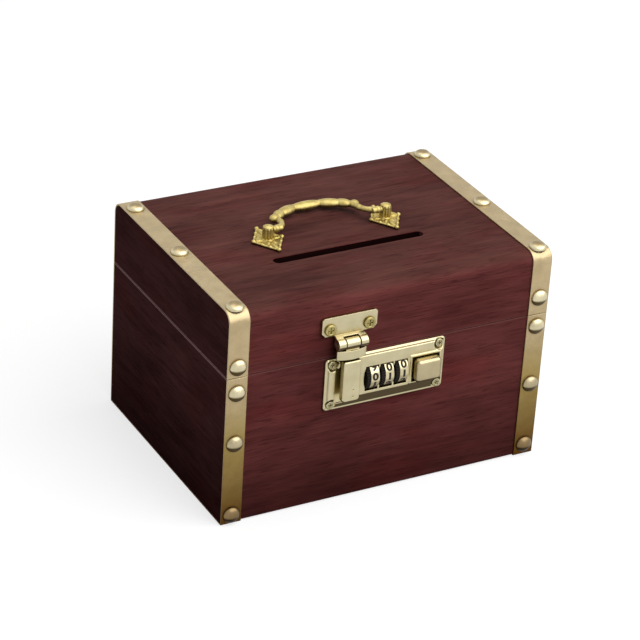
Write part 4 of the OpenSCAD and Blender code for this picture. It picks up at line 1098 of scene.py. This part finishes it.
# %% Turn the screws
SHANK_R, DISH_DEPTH, CROSS_DEPTH = 0.9, 0.25, 0.6
SCREWS = (   # node, body, name, the head's radius and height, how far out its seat is, finish
    ("hasp_screws", "lid", "hasp_screw_heads", 2.5, 1.0, 1.5, screw_brass),
    ("lock_plate_screws", "base", "plate_screw_heads", 1.8, 0.7, FLANGE, plate_screw_brass),
)


def screw(seat, end, head_r, height):
    """A screw along Y: its head stands on the seat, and its shank ends deeper in the wood."""
    front = seat + Vector((0, -height * MM, 0))
    head = rod(seat + Vector((0, 0.1 * MM, 0)), front, head_r * MM, sides=40)
    round_edges(head, lambda middle, way: middle.y < seat.y - 0.8 * height * MM, width=0.4 * height, steps=3)
    carve(head, rod(front + Vector((0, DISH_DEPTH * MM, 0)), front - Vector((0, MM, 0)),
                    0.60 * head_r * MM, tip=0.95 * head_r * MM))
    for wide, high in ((0.5, 0.13), (0.13, 0.5)):
        arm = Vector((wide * head_r * MM, CROSS_DEPTH * MM, high * head_r * MM))
        carve(head, block(front - arm, front + arm))
    return joined([head, rod(seat, end, SHANK_R * MM, sides=16)])


for node, body, name, head_r, height, seat_out, finish in SCREWS:
    made = []
    for low, high in loose_solids(node):
        seat = Vector(((low.x + high.x) / 2, FRONT_Y - seat_out * MM, (low.z + high.z) / 2))
        made.append(screw(seat, Vector((seat.x, high.y, seat.z)), head_r, height))
    heads = joined(made)
    settle(heads, name, body, finish, angle=35)
    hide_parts(node)

# %% [markdown]
# ## Domed nails
# The nails are turned domes that meet the strap almost squarely, which gives them a dark lower
# edge. One dome is shaped at the origin. The solids say where each nail sits and which way it
# points: its shank makes it longest along its own axis.

# %% Shape one dome and set it on every nail
DOME_R, DOME_H, DOME_SKIRT = 3.6, 2.1, 0.3
dome = lump((0, 0, 0), (DOME_R * MM, DOME_R * MM, DOME_H * MM))
edit_all()
bpy.ops.mesh.bisect(plane_co=(0, 0, 0), plane_no=(0, 0, 1), use_fill=True, clear_inner=True)
leave_edit()
pick(dome, lambda middle, normal: normal.z < -0.9)
bpy.ops.mesh.extrude_region_move(TRANSFORM_OT_translate={"value": (0, 0, -DOME_SKIRT * MM)})
leave_edit()


def dress_nails(node, name, body):
    heads = []
    for low, high in loose_solids(node):
        size, middle = high - low, (low + high) / 2
        axis = max(range(3), key=lambda i: size[i])
        outward = Vector([0, 0, 0])
        outward[axis] = 1 if axis == 2 or middle[axis] > 0 else -1
        seat = middle + outward * (size[axis] / 2 - DOME_H * MM)
        make_active(dome)
        bpy.ops.object.duplicate()
        head = bpy.context.object
        head.matrix_world = Matrix.Translation(seat) @ outward.to_track_quat("Z", "Y").to_matrix().to_4x4()
        bpy.ops.object.transform_apply(location=True, rotation=True, scale=True)
        heads.append(head)
    print(node, "nails:", len(heads))
    nails = joined(heads)
    settle(nails, name, body, stud_brass, angle=50)
    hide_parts(node)


dress_nails("base_studs", "base_nails", "base")
dress_nails("lid_studs", "lid_nails", "lid")
bpy.data.objects.remove(dome)

# %% [markdown]
# ## Dressing the solids
# Each solid keeps its shape and gets a finish. The list goes by how the nodes' names begin, and
# the longest beginning that fits decides. A node that none fits stops the script.

# %% Give every solid its finish
DRESSED_IN = {
    lid_wood: ["lid_top"],
    long_wood: ["base_front", "base_back", "base_floor", "lid_front", "lid_back"],
    end_wood: ["base_left", "base_right", "lid_left", "lid_right"],
    strap_brass: ["base_strap", "lid_strap"],
    stud_brass: ["base_studs", "lid_studs"],
    screw_brass: ["hasp_screws", "hinge_base_screws", "hinge_lid_screws"],
    plate_screw_brass: ["lock_plate_screws"],
    cast_gold: ["bail", "handle_post"],
    hinge_brass: ["hinge_"],
    dial_brass: ["dial_"],
    lock_brass: ["hasp_", "lock_face", "push_button"],
    steel: ["lock_back_cover", "detent_spring", "code_sleeve", "button_springs", "latch_bolt", "bolt_spring",
            "hasp_staple", "handle_screws"],
}
finish_of = {start: finish for finish, starts in DRESSED_IN.items() for start in starts}
for name, piece in frame["nodes"].items():
    longest = max((start for start in finish_of if name.startswith(start)), key=len)
    piece.data.materials.clear()
    piece.data.materials.append(finish_of[longest])
print("dressed", len(frame["nodes"]), "solids")

# %% [markdown]
